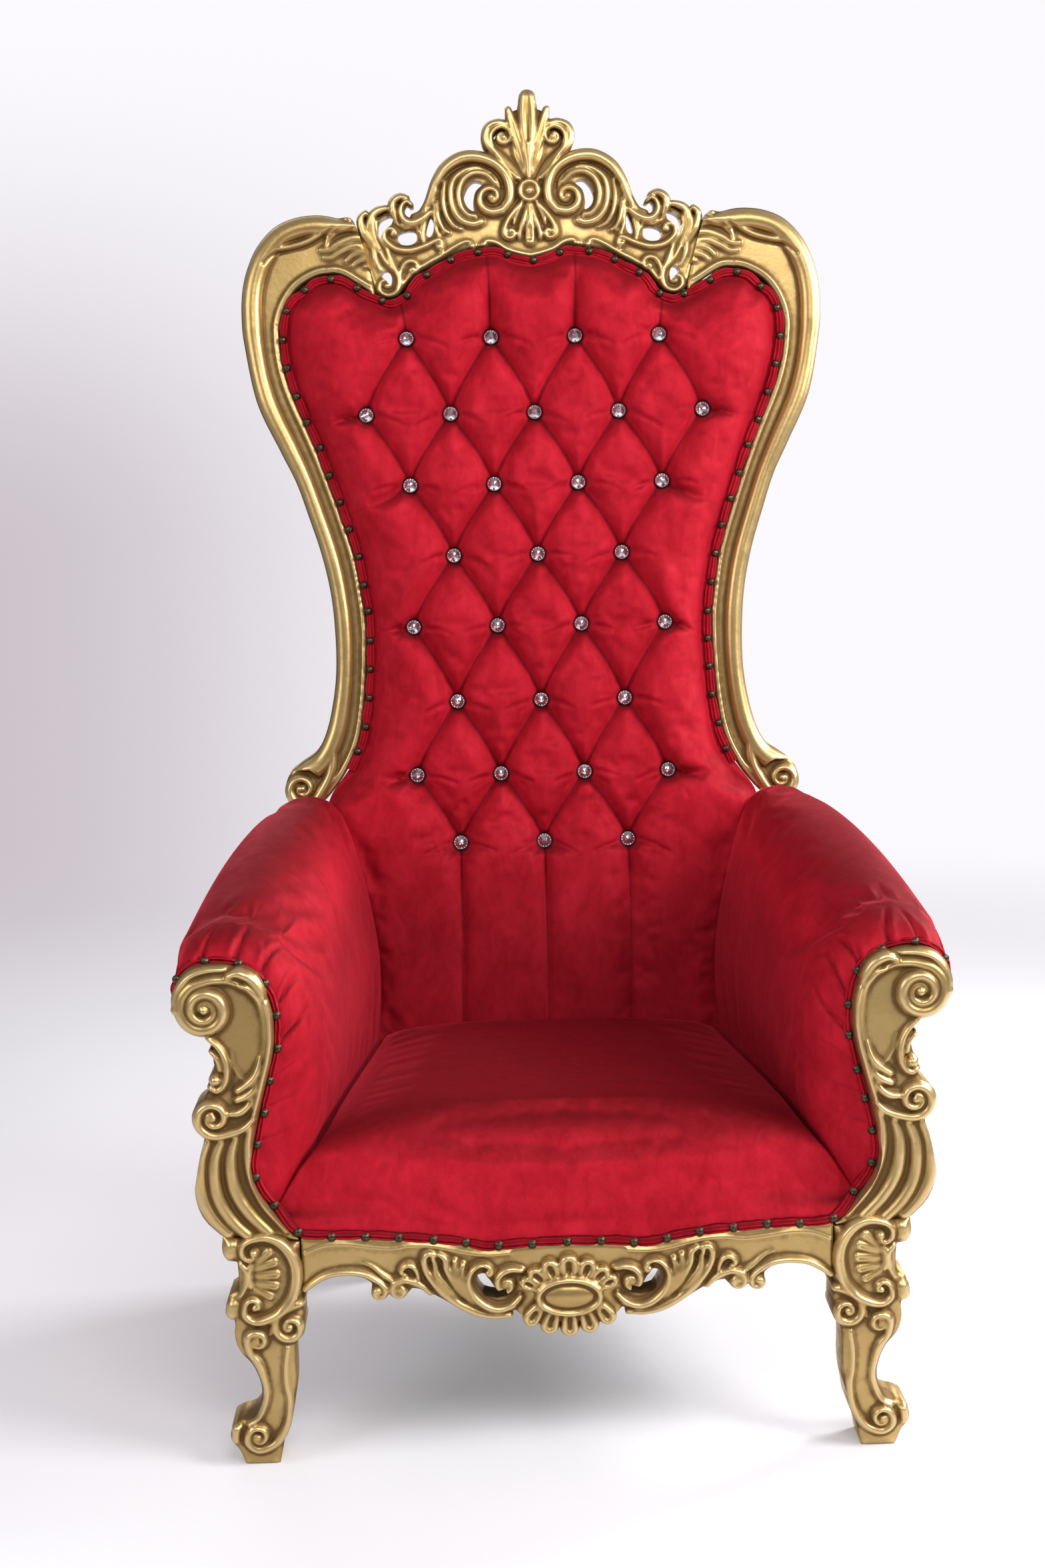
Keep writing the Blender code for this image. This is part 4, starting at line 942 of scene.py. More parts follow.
def apron():
    """Apron: serpentine rim, volutes, acanthus sprays and a pierced scroll beside the cartouche."""
    low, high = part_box("front_apron")
    r = Relief((low[0] - 0.004, low[2] - 0.006), (high[0] + 0.004, high[2] + 0.004))
    outlines = board_outlines("front_apron")
    r.board(outlines[0], 0.003, 0.005, smooth=False)
    for r.side in (1, -1):
        r.stroke([(0.336, 0.281), (0.318, 0.2885), (0.303, 0.2915), (0.283, 0.2915), (0.262, 0.2885),
                    (0.243, 0.286), (0.225, 0.2845), (0.202, 0.287), (0.178, 0.287), (0.154, 0.282),
                    (0.130, 0.276), (0.105, 0.2725), (0.075, 0.274)], [0.0028, 0.0028], 0.004,
                 base=0.002, solid=False)
        r.stroke([(0.337, 0.234), (0.318, 0.2475), (0.302, 0.254), (0.280, 0.256), (0.261, 0.2535),
                    (0.247, 0.246)] + spiral((0.2430, 0.2285), (0.236, 0.237), 1.1, 0.003, 1),
                 [0.004, 0.005, 0.0055, 0.0055, 0.005, 0.004, 0.003], [0.008, 0.010, 0.011], base=0.002)
        r.bead(0.2432, 0.2282, 0.0042, 0.010, base=0.003)
        r.stroke([(0.177, 0.225), (0.186, 0.2345), (0.198, 0.241), (0.210, 0.2435)]
                   + spiral((0.2155, 0.2305), (0.221, 0.2405), 1.15, 0.003, -1),
                 [0.004, 0.0055, 0.006, 0.0055, 0.0045, 0.003], [0.008, 0.011, 0.011], base=0.002)
        r.bead(0.2152, 0.2300, 0.0042, 0.010, base=0.003)
        r.stroke([(0.191, 0.245), (0.195, 0.258), (0.2035, 0.264), (0.2110, 0.260), (0.2135, 0.2535),
                    (0.2070, 0.250)], [0.003, 0.0045, 0.005, 0.0045, 0.0025], [0.007, 0.010, 0.008],
                 base=0.003, solid=False)
        r.stroke([(0.225, 0.243), (0.236, 0.250), (0.250, 0.262), (0.262, 0.268)],
                 [0.0045, 0.004, 0.003, 0.0015], [0.008, 0.006, 0.004], base=0.002, solid=False)
        # acanthus spray
        for points in ([(0.075, 0.192), (0.099, 0.1925), (0.123, 0.200), (0.147, 0.215), (0.167, 0.234),
                        (0.180, 0.253), (0.1840, 0.268), (0.1800, 0.277), (0.1725, 0.277), (0.1725, 0.270)],
                       [(0.139, 0.214), (0.157, 0.234), (0.168, 0.252), (0.1705, 0.266)],
                       [(0.123, 0.208), (0.143, 0.235), (0.1545, 0.256), (0.1570, 0.270), (0.1640, 0.276)],
                       [(0.116, 0.205), (0.134, 0.229), (0.1440, 0.250), (0.1450, 0.267)],
                       [(0.108, 0.203), (0.128, 0.224), (0.1365, 0.244), (0.1345, 0.262)]):
            r.stroke(points, [0.0035, 0.0062, 0.0068, 0.0062, 0.0042], [0.008, 0.012, 0.013, 0.010],
                     base=0.002, vein=0.002)
        # pierced C-scroll and its volute
        r.stroke([(0.062, 0.217), (0.073, 0.2060), (0.090, 0.2015), (0.107, 0.207), (0.1215, 0.221),
                    (0.1280, 0.238), (0.1245, 0.252), (0.1140, 0.2605), (0.1030, 0.2590), (0.0975, 0.251),
                    (0.1015, 0.2455)], [0.0045, 0.006, 0.0068, 0.0065, 0.0055, 0.0045, 0.0035],
                 [0.009, 0.013, 0.013, 0.010], base=0.002)
        r.bead(0.1035, 0.250, 0.0042, 0.011, base=0.003)
        r.stroke([(0.060, 0.252), (0.072, 0.2540), (0.0830, 0.2510), (0.0905, 0.243)]
                   + spiral((0.0800, 0.2345), (0.0915, 0.236), 1.15, 0.003, -1),
                 [0.0045, 0.0062, 0.0062, 0.0055, 0.0045, 0.003], [0.010, 0.013, 0.011], base=0.002)
        r.bead(0.0800, 0.2342, 0.0045, 0.011, base=0.003)
    r.side = 1
    for hole in outlines[1:]:
        r.cut(hole, smooth=False)
    piece = r.build("carved_apron", front_plane(0.002), 0.033)
    dress(piece, GOLD, "antique_gold", "front_apron")


def cartouche():
    """Oval boss in a ring, with a scalloped crown above and scooped petals below."""
    r = Relief((-0.072, 0.158), (0.072, 0.282))
    middle = 0.2195
    ring = [(0.0395 * math.cos(a), middle + 0.0220 * math.sin(a)) for a in np.linspace(0, 2 * math.pi, 25)]
    r.board([(1.12 * x, middle + 1.12 * (z - middle)) for x, z in ring[:-1]], 0.006, 0.004)
    lobes = [(0.0, 0.242, 0.0, 0.2605, 0.0138), (0.017, 0.241, 0.0240, 0.2560, 0.0125),
             (0.030, 0.237, 0.0425, 0.2470, 0.0115), (0.040, 0.230, 0.0545, 0.2370, 0.0090)]
    petals = [(0.0, 0.203, 0.0, 0.1765, 0.0122), (0.018, 0.204, 0.0255, 0.1805, 0.0124),
              (0.036, 0.208, 0.0485, 0.1905, 0.0118)]
    for group, hollow in ((lobes, 0.010), (petals, 0.009)):
        for root_x, root_z, tip_x, tip_z, size in group:
            for side in ((1, -1) if tip_x else (1,)):
                root, tip = (side * root_x, root_z), (side * tip_x, tip_z)
                near = (0.45 * root[0] + 0.55 * tip[0], 0.45 * root[1] + 0.55 * tip[1])
                r.stroke([root, tip], [0.75 * size, size], [0.008, 0.012], base=0.002, power=0.45)
                r.groove([near, tip], [0.26 * size, 0.46 * size], hollow)
    oval = ((r.grid_x / 0.0345) ** 2 + ((r.grid_z - middle) / 0.0175) ** 2)
    basin = ((r.grid_x / 0.0385) ** 2 + ((r.grid_z - middle) / 0.0210) ** 2) < 1
    r.height = np.where(basin, 0.006 + 0.011 * np.clip(1 - oval, 0, 1) ** 0.5, r.height)
    r.stroke(ring, [0.0046, 0.0046], 0.008, base=0.008)
    piece = r.build("carved_cartouche", front_plane(-0.006), 0.0055)
    dress(piece, GOLD, "antique_gold", "apron_medallion")


# ---------------------------------------------------------------- upholstery outlines
# Right side of the back cushion below the stile, and of its upper edge under crest and stile.
BACK_SIDE = [(0.270, 0.360), (0.271, 0.480), (0.275, 0.530), (0.284, 0.595), (0.299, 0.651),
             (0.315, 0.698), (0.326, 0.735), (0.325, 0.768), (0.294, 0.812), (0.270, 0.854)]
BACK_TOP = [(0.345, 1.530), (0.325, 1.546), (0.290, 1.548), (0.256, 1.528), (0.232, 1.517),
            (0.213, 1.511), (0.190, 1.522), (0.172, 1.546), (0.146, 1.560), (0.108, 1.580),
            (0.070, 1.586), (0.050, 1.586), (0.024, 1.575)]
WELT_INSET = 0.0068                 # the back's welt runs this far inside the wood
BACK_FULL = 0.050                   # the back cushion's padding in front of the frame plane
GIMP_MARGIN = 0.0095                # flat edge that the gimp is nailed over
BUTTON_SEAT = 0.0206                # where a button's rear face stands

# Nailing line on the right: over the top of the arm post, down its inner side, to the centre.
FRONT_LINE = [(0.4800, 0.600), (0.4850, 0.618), (0.4830, 0.636), (0.474, 0.650), (0.460, 0.6590),
              (0.442, 0.6625), (0.420, 0.6610), (0.401, 0.6550), (0.382, 0.6415), (0.3685, 0.621),
              (0.3615, 0.597), (0.3595, 0.570), (0.3625, 0.539), (0.3715, 0.505), (0.380, 0.470),
              (0.387, 0.440), (0.392, 0.415), (0.3945, 0.392), (0.387, 0.366), (0.372, 0.344),
              (0.355, 0.321), (0.338, 0.307), (0.320, 0.3035), (0.270, 0.3025), (0.225, 0.2995),
              (0.186, 0.2965), (0.138, 0.2905), (0.101, 0.2825), (0.058, 0.2855), (0.0, 0.2875)]
FRONT_LINE_Y = -0.3745              # y of that line on the arm posts
APRON_TRIM_STEP = 0.0125            # the apron's edge stands this much further out
NAIL_SPACING = 0.043
NAIL_RADIUS = 0.0053

# Arm pad sections, x and z, from the inner foot over the roll: at the rear, at the front,
# and where the velvet is nailed round the arm post.
ARM_REAR = [(0.250, 0.303), (0.250, 0.430), (0.255, 0.530), (0.273, 0.640), (0.297, 0.732),
            (0.320, 0.768), (0.354, 0.779), (0.388, 0.769), (0.408, 0.738), (0.400, 0.705),
            (0.372, 0.690), (0.354, 0.560), (0.343, 0.430), (0.334, 0.303)]
ARM_FRONT = [(0.378, 0.303), (0.318, 0.430), (0.306, 0.500), (0.310, 0.570), (0.334, 0.633),
             (0.370, 0.678), (0.426, 0.696), (0.474, 0.680), (0.495, 0.634), (0.480, 0.588),
             (0.452, 0.574), (0.428, 0.540), (0.422, 0.430), (0.420, 0.303)]
ARM_RIM = [(0.390, 0.345), (0.395, 0.415), (0.381, 0.475), (0.364, 0.535), (0.3605, 0.590),
           (0.3790, 0.636), (0.4280, 0.6610), (0.4720, 0.649), (0.4835, 0.613), (0.473, 0.590),
           (0.455, 0.576), (0.430, 0.545), (0.425, 0.430), (0.420, 0.320)]
ARM_DROP = [(0.00, 0.00), (0.25, 0.06), (0.50, 0.26), (0.75, 0.60), (0.90, 0.86), (1.00, 1.00)]
ARM_SWELL = 0.006                   # outward fullness of the roll halfway along the arm
OUTSIDE_ARM_BEND = 0.430            # above this the outside arm panel leans out under the roll
ARM_REAR_Y, ARM_FRONT_Y = 0.212, -0.335
CLOTH_FRAMES = 16                   # frames of cloth that each cover settles for
CLOTH_LIMIT = 0.006                 # no point of a cover moves further than this
CUSHION_PRESSURE, SHEET_PRESSURE = 2.5, 4.0
ARM_ROUND_Y, ARM_RIM_Y = -0.290, -0.378     # the front edge rounds over between these


# ---------------------------------------------------------------- upholstery
def settle(obj, held, pressure, growth):
    """Let the cover find its own folds as cloth, fixed where held is true.

    growth is the share by which the velvet is cut too large.
    """
    group = obj.vertex_groups.new(name="pins")
    group.add(np.nonzero(held)[0].tolist(), 1.0, "REPLACE")
    count = len(obj.data.vertices)
    start = np.empty(3 * count)
    obj.data.vertices.foreach_get("co", start)
    cloth = obj.modifiers.new("cloth", "CLOTH")
    cloth.settings.quality = 5
    cloth.settings.mass = 0.25
    cloth.settings.tension_stiffness = 20.0
    cloth.settings.compression_stiffness = 10.0
    cloth.settings.shear_stiffness = 8.0
    cloth.settings.bending_stiffness = 0.4
    cloth.settings.air_damping = 3.0
    cloth.settings.use_pressure = True
    cloth.settings.uniform_pressure_force = pressure
    cloth.settings.shrink_min = -growth
    cloth.settings.vertex_group_mass = "pins"
    cloth.settings.effector_weights.gravity = 0.0
    cloth.point_cache.frame_end = CLOTH_FRAMES
    scene = bpy.context.scene
    for step in range(1, CLOTH_FRAMES + 1):
        scene.frame_set(step)
    solved = obj.evaluated_get(bpy.context.evaluated_depsgraph_get())
    end = np.empty(3 * count)
    solved.data.vertices.foreach_get("co", end)
    obj.modifiers.remove(cloth)
    obj.vertex_groups.remove(group)
    scene.frame_set(1)
    move = (end - start).reshape(-1, 3)
    length = np.maximum(np.linalg.norm(move, axis=1, keepdims=True), 1e-9)
    move *= np.minimum(length, CLOTH_LIMIT) / length
    obj.data.vertices.foreach_set("co", start + move.ravel())
    obj.data.update()


def skin(name, rings):
    """A closed body over rings of equal length, capped at both ends."""
    rings = np.asarray(rings)
    stations, around = rings.shape[:2]
    number = np.arange(stations * around).reshape(stations, around)
    following = np.roll(number, -1, axis=1)
    walls = np.stack([number[:-1], following[:-1], following[1:], number[1:]], axis=-1)
    caps = [number[0].tolist(), number[-1].tolist()]
    mesh = bpy.data.meshes.new(name)
    mesh.from_pydata(rings.reshape(-1, 3).tolist(), [], walls.reshape(-1, 4).tolist() + caps)
    return finish_piece(name, mesh)


def subdivide(obj):
    """One level of Subdivision Surface, applied."""
    finer = obj.modifiers.new("finer", "SUBSURF")
    finer.levels = 1
    finer.render_levels = 1
    finer.use_limit_surface = False
    solved = obj.evaluated_get(bpy.context.evaluated_depsgraph_get())
    mesh = bpy.data.meshes.new_from_object(solved)
    obj.modifiers.clear()
    obj.data = mesh
    mesh.shade_smooth()


def button_places():
    """Centre of each tuft button, from its CAD node."""
    places = []
    for part in frame["record"]["subparts"]:
        if part["node"].startswith("tuft_button"):
            low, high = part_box(part["node"])
            places.append((part["node"], (Vector(low) + Vector(high)) / 2))
    return places


def back_outline():
    """Right half of the back cushion's outline, from its lower to its upper centre."""
    side = BACK_SIDE + [(x - WELT_INSET, z) for x, z in STILE_INNER[4:17]]
    return [(0.0, BACK_SIDE[0][1])] + side + BACK_TOP + [(0.0, 1.571)]


def sheet_ripple(r, height, held):
    """Extra height of a cover over a relief, found as cloth: slack velvet under light pressure.

    The cloth is solved on a coarser sheet, held where held is true, and the small waves that
    it makes are brought back to the relief's own grid.
    """
    skip = 4                         # grid steps to one step of the sheet
    coarse, pins = height[::skip, ::skip], held[::skip, ::skip]
    x, z = r.grid_x[::skip, ::skip], r.grid_z[::skip, ::skip]
    rows, columns = x.shape
    number = np.arange(rows * columns).reshape(rows, columns)
    faces = np.stack([number[:-1, :-1], number[:-1, 1:], number[1:, 1:], number[1:, :-1]], axis=-1)
    mesh = bpy.data.meshes.new("sheet")
    verts = np.stack([x, -coarse, z], axis=-1).reshape(-1, 3)
    mesh.from_pydata(verts.tolist(), [], faces.reshape(-1, 4).tolist())
    sheet = add_object("sheet", mesh)
    settle(sheet, pins.ravel(), SHEET_PRESSURE, 0.035)
    moved = np.empty(3 * rows * columns)
    mesh.vertices.foreach_get("co", moved)
    wave = (-moved.reshape(-1, 3)[:, 1]).reshape(rows, columns) - coarse
    bpy.data.objects.remove(sheet)
    fine_rows = np.clip(np.arange(height.shape[0]) / skip, 0, rows - 1)
    fine_columns = np.clip(np.arange(height.shape[1]) / skip, 0, columns - 1)
    across = np.array([np.interp(fine_columns, np.arange(columns), line) for line in wave])
    return np.array([np.interp(fine_rows, np.arange(rows), line) for line in across.T]).T


def shade_folds(piece, r, painted_shade):
    """Write the painted shade to the piece as its fold attribute, which darkens the velvet."""
    count = len(piece.data.vertices)
    co = np.empty(3 * count)
    piece.data.vertices.foreach_get("co", co)
    co = co.reshape(-1, 3)
    i = np.clip(((co[:, 0] - r.low[0]) / r.cell).round().astype(int), 0, len(r.x) - 1)
    j = np.clip(((co[:, 2] - r.low[1]) / r.cell).round().astype(int), 0, len(r.z) - 1)
    write_tone(piece.data, "fold", painted_shade[j, i])


def back_cushion():
    """Diamond-tufted back: folds run between buttons, and the pillows stand up between."""
    r = Relief((-0.392, 0.352), (0.392, 1.596), cell=0.0025)
    r.board(right_half(back_outline()))
    inside = np.clip(r.depth, 0, None)
    reach = np.interp(r.grid_z, (0.70, 0.86), (0.030, 0.075))
    margin = np.interp(r.grid_z, (0.76, 0.80), (0.0, GIMP_MARGIN))
    edge = np.clip((inside - margin) / reach, 0, 1)
    full = 0.003 + (BACK_FULL - 0.003) * (1 - (1 - edge) ** 2.3) ** 0.65
    full = full + 0.004 * np.cos(r.grid_x / 0.30 * math.pi / 2)
    height = full.copy()
    painted_shade = np.zeros(height.shape)
    places = [(c.x, c.z) for _, c in button_places()]

    def pleat(path, floors, width, power=0.62, shade=0.85):
        """A fold along a path: the floor rises along it, and the cover rounds up beside it."""
        nonlocal height, painted_shade
        path = smooth_path(path, 0.006)
        centre, span = path.mean(axis=0), np.ptp(path, axis=0)
        part = r.window(centre[0], centre[1], 0.5 * float(np.hypot(*span)) + width)
        x, z = r.grid_x[part], r.grid_z[part]
        nearest, along = np.full(x.shape, 1e9), np.zeros(x.shape)
        for k, ((ax, az), (bx, bz)) in enumerate(zip(path, path[1:])):
            length2 = (bx - ax) ** 2 + (bz - az) ** 2 + 1e-12
            t = np.clip(((x - ax) * (bx - ax) + (z - az) * (bz - az)) / length2, 0, 1)
            gap = np.hypot(x - ax - t * (bx - ax), z - az - t * (bz - az))
            closer = gap < nearest
            nearest = np.where(closer, gap, nearest)
            along = np.where(closer, (k + t) / (len(path) - 1), along)
        floor = np.interp(along, np.linspace(0, 1, len(floors)), floors)
        share = np.clip(nearest / width, 0, 1)
        lift = floor + np.maximum(full[part] - floor, 0) * (1 - (1 - share) ** 2) ** power
        height[part] = np.minimum(height[part], np.where(full[part] > floor, lift, full[part]))
        # painted shade along the fold, fullest at its start
        tone = np.interp(along, (0.0, 0.5, 1.0), (1.0, shade, shade))
        painted_shade[part] = np.maximum(painted_shade[part], tone * np.exp(-(nearest / 0.0021) ** 2))

    dip = BUTTON_SEAT - 0.0035
    # heights of a diagonal fold's floor, from one button to the next
    diagonal = (dip, 0.021, 0.0265, 0.0285, 0.0275, 0.022, dip)
    for a in places:
        for b in places:
            across, down = b[0] - a[0], a[1] - b[1]
            if 0.045 < abs(across) < 0.085 and 0.08 < down < 0.13:
                # b is one of a's two neighbours in the row below
                side = math.copysign(1, across)
                start = (a[0] + 0.006 * side, a[1] - 0.007)
                end = (b[0] - 0.0025 * side, b[1] + 0.008)
                run = Vector(end) - Vector(start)
                bow = Vector((0.0026 * side, 0.0))
                pleat([start, Vector(start) + 0.35 * run + bow,
                       Vector(start) + 0.70 * run + 1.5 * bow, end],
                      diagonal, 0.040)
    rows = sorted({round(z, 3) for _, z in places}, reverse=True)
    # folds from the outermost buttons to the side: row, then length and rise
    side_folds = {1: (0.090, -0.006), 2: (0.090, -0.040), 4: (0.060, 0.0), 6: (0.060, 0.0)}
    for x, z in places:
        row = min(range(len(rows)), key=lambda k: abs(rows[k] - z))
        outermost = abs(x) > 0.99 * max(abs(p[0]) for p in places if abs(p[1] - z) < 0.01)
        if row == 0:
            # an upright fold to the cushion's upper edge
            top = 1.525 if outermost else 1.60
            pleat([(x, z), (1.02 * x, 0.5 * (z + top)), (1.06 * x, top)], (dip, 0.026, 0.031, 0.033), 0.036)
        if row == len(rows) - 1:
            # an upright fold down behind the seat
            pleat([(x, z), (1.01 * x, 0.55), (1.03 * x, 0.40)],
                  (dip, 0.030, 0.037, 0.041, 0.043, 0.045, 0.046), 0.026, 0.45)
        if outermost and row in side_folds:
            length, fall = side_folds[row]
            out = math.copysign(length, x)
            pleat([(x, z), (x + 0.5 * out, z + 0.5 * fall - 0.003), (x + out, z + fall)],
                  (dip, 0.028, 0.037, 0.045), 0.028, shade=0.35)
    # the pillow is pulled in round each button
    for x, z in places:
        gap = np.hypot(r.grid_x - x, r.grid_z - z)
        share = np.clip(gap / 0.036, 0, 1)
        lift = dip + (full - dip) * (1 - (1 - share) ** 2) ** 0.62
        height = np.minimum(height, np.maximum(lift, dip))
    held = np.clip(painted_shade + (inside < 0.020) + (height < 0.026), 0, 1) > 0.5
    height = height + sheet_ripple(r, height, held)
    r.height = soften(height, 1)
    # tension wrinkles: one long one to each side, and short ones fanned round the button
    chance = np.random.default_rng(7)
    for x, z in places:
        for side in (1, -1):
            for size in (1.0, 0.62, 0.45, 0.45):
                angle = chance.normal(-0.04, 0.08 if size == 1.0 else 0.34)
                last = 0.012 + size * chance.uniform(0.030, 0.050)
                line = [(x + side * d * math.cos(angle),
                         z + d * math.sin(angle) - 5.0 * (d - 0.01) ** 2)
                        for d in np.linspace(0.010, last, 5)]
                r.groove(line, [0.0040, 0.0034, 0.0026, 0.0018], size * chance.uniform(0.0036, 0.0054))
        for _ in range(6):
            angle = chance.uniform(0, 2 * math.pi)
            last = chance.uniform(0.018, 0.030)
            line = [(x + d * math.cos(angle), z + d * math.sin(angle))
                    for d in (0.010, 0.5 * last, last)]
            r.groove(line, [0.0030, 0.0028, 0.0018], chance.uniform(0.0012, 0.0024))
    # a flat seat for each button, and painted shade in a ring round it
    seat_radius = 0.0105
    for x, z in places:
        gap = np.hypot(r.grid_x - x, r.grid_z - z)
        seat = dip + 0.0016 * np.clip(gap / seat_radius, 0, 1) ** 2
        blend = np.clip((gap - seat_radius) / 0.006, 0, 1)
        r.height = np.where(gap < 0.0165, (1 - blend) * seat + blend * r.height, r.height)
        # painted shade in a ring round the button
        painted_shade = np.maximum(painted_shade, np.exp(-((gap - 0.0115) / 0.0022) ** 2))
    # painted shade: darker towards the seat, where the arms and the seat shade the lower back
    painted_shade = np.maximum(painted_shade, 0.50 * np.clip((0.82 - r.grid_z) / 0.26, 0, 1))
    piece = r.build("tufted_back", lambda x, z: back_y(z), 0.016, passes=1)
    shade_folds(piece, r, painted_shade)
    dress(piece, VELVET, "crimson_velvet", "back_cushion")


def seat_cushion():
    """Tight seat: level crowned top, rolled front edge, front face flaring to the arm posts."""
    columns, detail = 96, 7
    rear_half, front_half, rear_y, front_y = 0.2475, 0.3165, 0.145, -0.366
    apron_edge = [(x, z) for x, z in FRONT_LINE if z < 0.309]
    edge_x = [x for x, _ in reversed(apron_edge)]
    edge_z = [z for _, z in reversed(apron_edge)]
    rings = []
    for i in range(columns + 1):
        u = -1 + 2 * i / columns
        low = np.interp(abs(u) * 0.350, edge_x, edge_z) + 0.0005
        crown = 0.013 * (1 - abs(u) ** 2.6)
        drop = 0.010 * abs(u) ** 10
        top = 0.4315 + crown - drop
        profile = [(0.140, 0.306), (0.1450, 0.360), (0.1445, 0.415), (0.130, top - 0.001), (0.040, top),
                   (-0.080, top + 0.0015), (-0.200, top + 0.001), (-0.275, top - 0.002),
                   (-0.318, top - 0.010), (-0.343, top - 0.028), (-0.3550, top - 0.060),
                   (-0.3660, top - 0.095), (-0.3800, low + 0.018), (-0.3850, low + 0.004),
                   (-0.3760, low - 0.003), (-0.330, 0.306), (-0.100, 0.306)]
        ring = []
        for y, z in around_section(profile, detail):
            share = np.clip((rear_y - y) / (rear_y - front_y), 0, 1)
            half = rear_half + share * (front_half - rear_half)
            face = np.clip((-0.300 - y) / 0.050, 0, 1)
            half += 0.060 * face * np.clip((0.428 - z) / 0.095, 0, 1)
            ring.append((u * half, y, z))
        rings.append(ring)
    piece = skin("seat", rings)
    co = np.array([v.co for v in piece.data.vertices])
    held = (np.abs(co[:, 0]) > 0.235 + 0.10 * np.clip(-co[:, 1], 0, 1)) | (co[:, 2] < 0.312)
    settle(piece, held, CUSHION_PRESSURE, 0.004)
    subdivide(piece)
    dress(piece, VELVET, "crimson_velvet", "seat_cushion")


def arm_pads():
    """Rolled arms: full at the back, dropping to the post, gathered where they are nailed."""
    detail, stations, turn = 18, 34, 22
    drop_t, drop = zip(*ARM_DROP)
    rear, front, rim = (around_section(s, detail) for s in (ARM_REAR, ARM_FRONT, ARM_RIM))
    smooth_drop = smooth_path([(a, b) for a, b in zip(drop_t, drop)], 0.02)
    last_t = (ARM_REAR_Y - ARM_ROUND_Y) / (ARM_REAR_Y - ARM_FRONT_Y)
    outer = np.clip((rear[:, 0] - 0.335) / 0.03, 0, 1) * np.clip((rear[:, 1] - 0.60) / 0.12, 0, 1)
    chance = np.random.default_rng(11)
    for side, label in SIDES:
        body = []
        for t in np.linspace(0.012, last_t, stations):
            fall = np.interp(t, smooth_drop[:, 0], smooth_drop[:, 1])
            x = rear[:, 0] + t * (front[:, 0] - rear[:, 0]) + ARM_SWELL * math.sin(math.pi * t) * outer
            z = rear[:, 1] + fall * (front[:, 1] - rear[:, 1])
            y = ARM_REAR_Y + t * (ARM_FRONT_Y - ARM_REAR_Y)
            body.append(np.column_stack([x, np.full(len(x), y), z]))
        end = body[-1][:, [0, 2]]
        for angle in np.linspace(0, math.pi / 2, turn + 1)[1:]:
            section = end + (1 - math.cos(angle)) * (rim - end)
            y = ARM_ROUND_Y + (ARM_RIM_Y - ARM_ROUND_Y) * math.sin(angle)
            body.append(np.column_stack([section[:, 0], np.full(len(section), y), section[:, 1]]))
        body = np.array(body)
        for _ in range(5):
            body[1:-4] = 0.25 * body[:-5] + 0.5 * body[1:-4] + 0.25 * body[2:-3]
        steps = np.linalg.norm(np.roll(rim, -1, axis=0) - rim, axis=1)
        run = np.concatenate([[0], np.cumsum(steps)[:-1]])
        nails = np.arange(run[int(1.2 * detail)], run[9 * detail], NAIL_SPACING)
        # three gathers from each nail, only the smallest low on the inner side
        gathers = [(place + chance.normal(0, 0.003), chance.normal(0, 0.016),
                    length * chance.uniform(0.7, 1.1), deep)
                   for place in nails
                   for length, deep in ((1.0, 0.85), (0.5, 0.5), (0.35, 0.4))
                   if place > run[3 * detail] or deep == 0.4]
        # painted shade: the inner face is darker towards the seat
        inward = np.clip((0.345 - body[:, :, 0]) / 0.05, 0, 1)
        painted_arm_shade = 0.60 * inward * np.clip((0.74 - body[:, :, 2]) / 0.12, 0, 1)
        reach = ARM_RIM_Y - ARM_ROUND_Y
        for k in range(stations - 2, len(body)):
            ring = body[k]
            near = np.clip((ring[:, 1] - ARM_ROUND_Y + 0.030) / (reach + 0.030), 0, 1) ** 0.8
            outward = ring[:, [0, 2]] - ring[:, [0, 2]].mean(axis=0)
            outward /= np.linalg.norm(outward, axis=1, keepdims=True)
            fold = np.zeros(len(ring))
            for place, sway, length, deep in gathers:
                share = np.clip((near - 1 + 0.85 * length) / (0.85 * length), 0, 1) ** 0.7
                gap = run - place - sway * (1 - near) ** 1.2
                fold -= deep * 0.0058 * share * np.exp(-(gap / 0.0030) ** 2)
                fold += deep * 0.0024 * share * np.exp(-((gap - 0.0075) / 0.0048) ** 2)
                # painted shade along the gather's crease
                painted_arm_shade[k] = np.maximum(painted_arm_shade[k], deep * share * np.exp(-(gap / 0.0022) ** 2))
            if k == len(body) - 1:
                fold *= 0.4
            ring[:, 0] += outward[:, 0] * fold
            ring[:, 2] += outward[:, 1] * fold
            ring[:, 1] -= 0.5 * fold * np.sqrt(near)
        centre = rear.mean(axis=0)
        caps = []
        for share in (0.90, 0.97):
            section = centre + share * (rear - centre)
            caps.append(np.column_stack([section[:, 0], np.full(len(section), ARM_REAR_Y), section[:, 1]]))
        inner = rim.mean(axis=0) + 0.93 * (rim - rim.mean(axis=0))
        inner = np.column_stack([inner[:, 0], np.full(len(inner), ARM_RIM_Y + 0.004), inner[:, 1]])
        rings = np.concatenate([caps, body, [inner]]) * (side, 1, 1)
        piece = skin("rolled_arm_" + label, rings)
        blank = np.zeros((1, len(rear)))
        write_tone(piece.data, "fold", np.concatenate([blank, blank, painted_arm_shade, blank]).ravel())
        co = np.array([v.co for v in piece.data.vertices])
        held = (co[:, 1] < -0.335) | (co[:, 1] > 0.205) | (co[:, 2] < 0.42)
        settle(piece, held, CUSHION_PRESSURE, 0.005)
        subdivide(piece)
        dress(piece, VELVET, "crimson_velvet", "arm_pad_" + label)


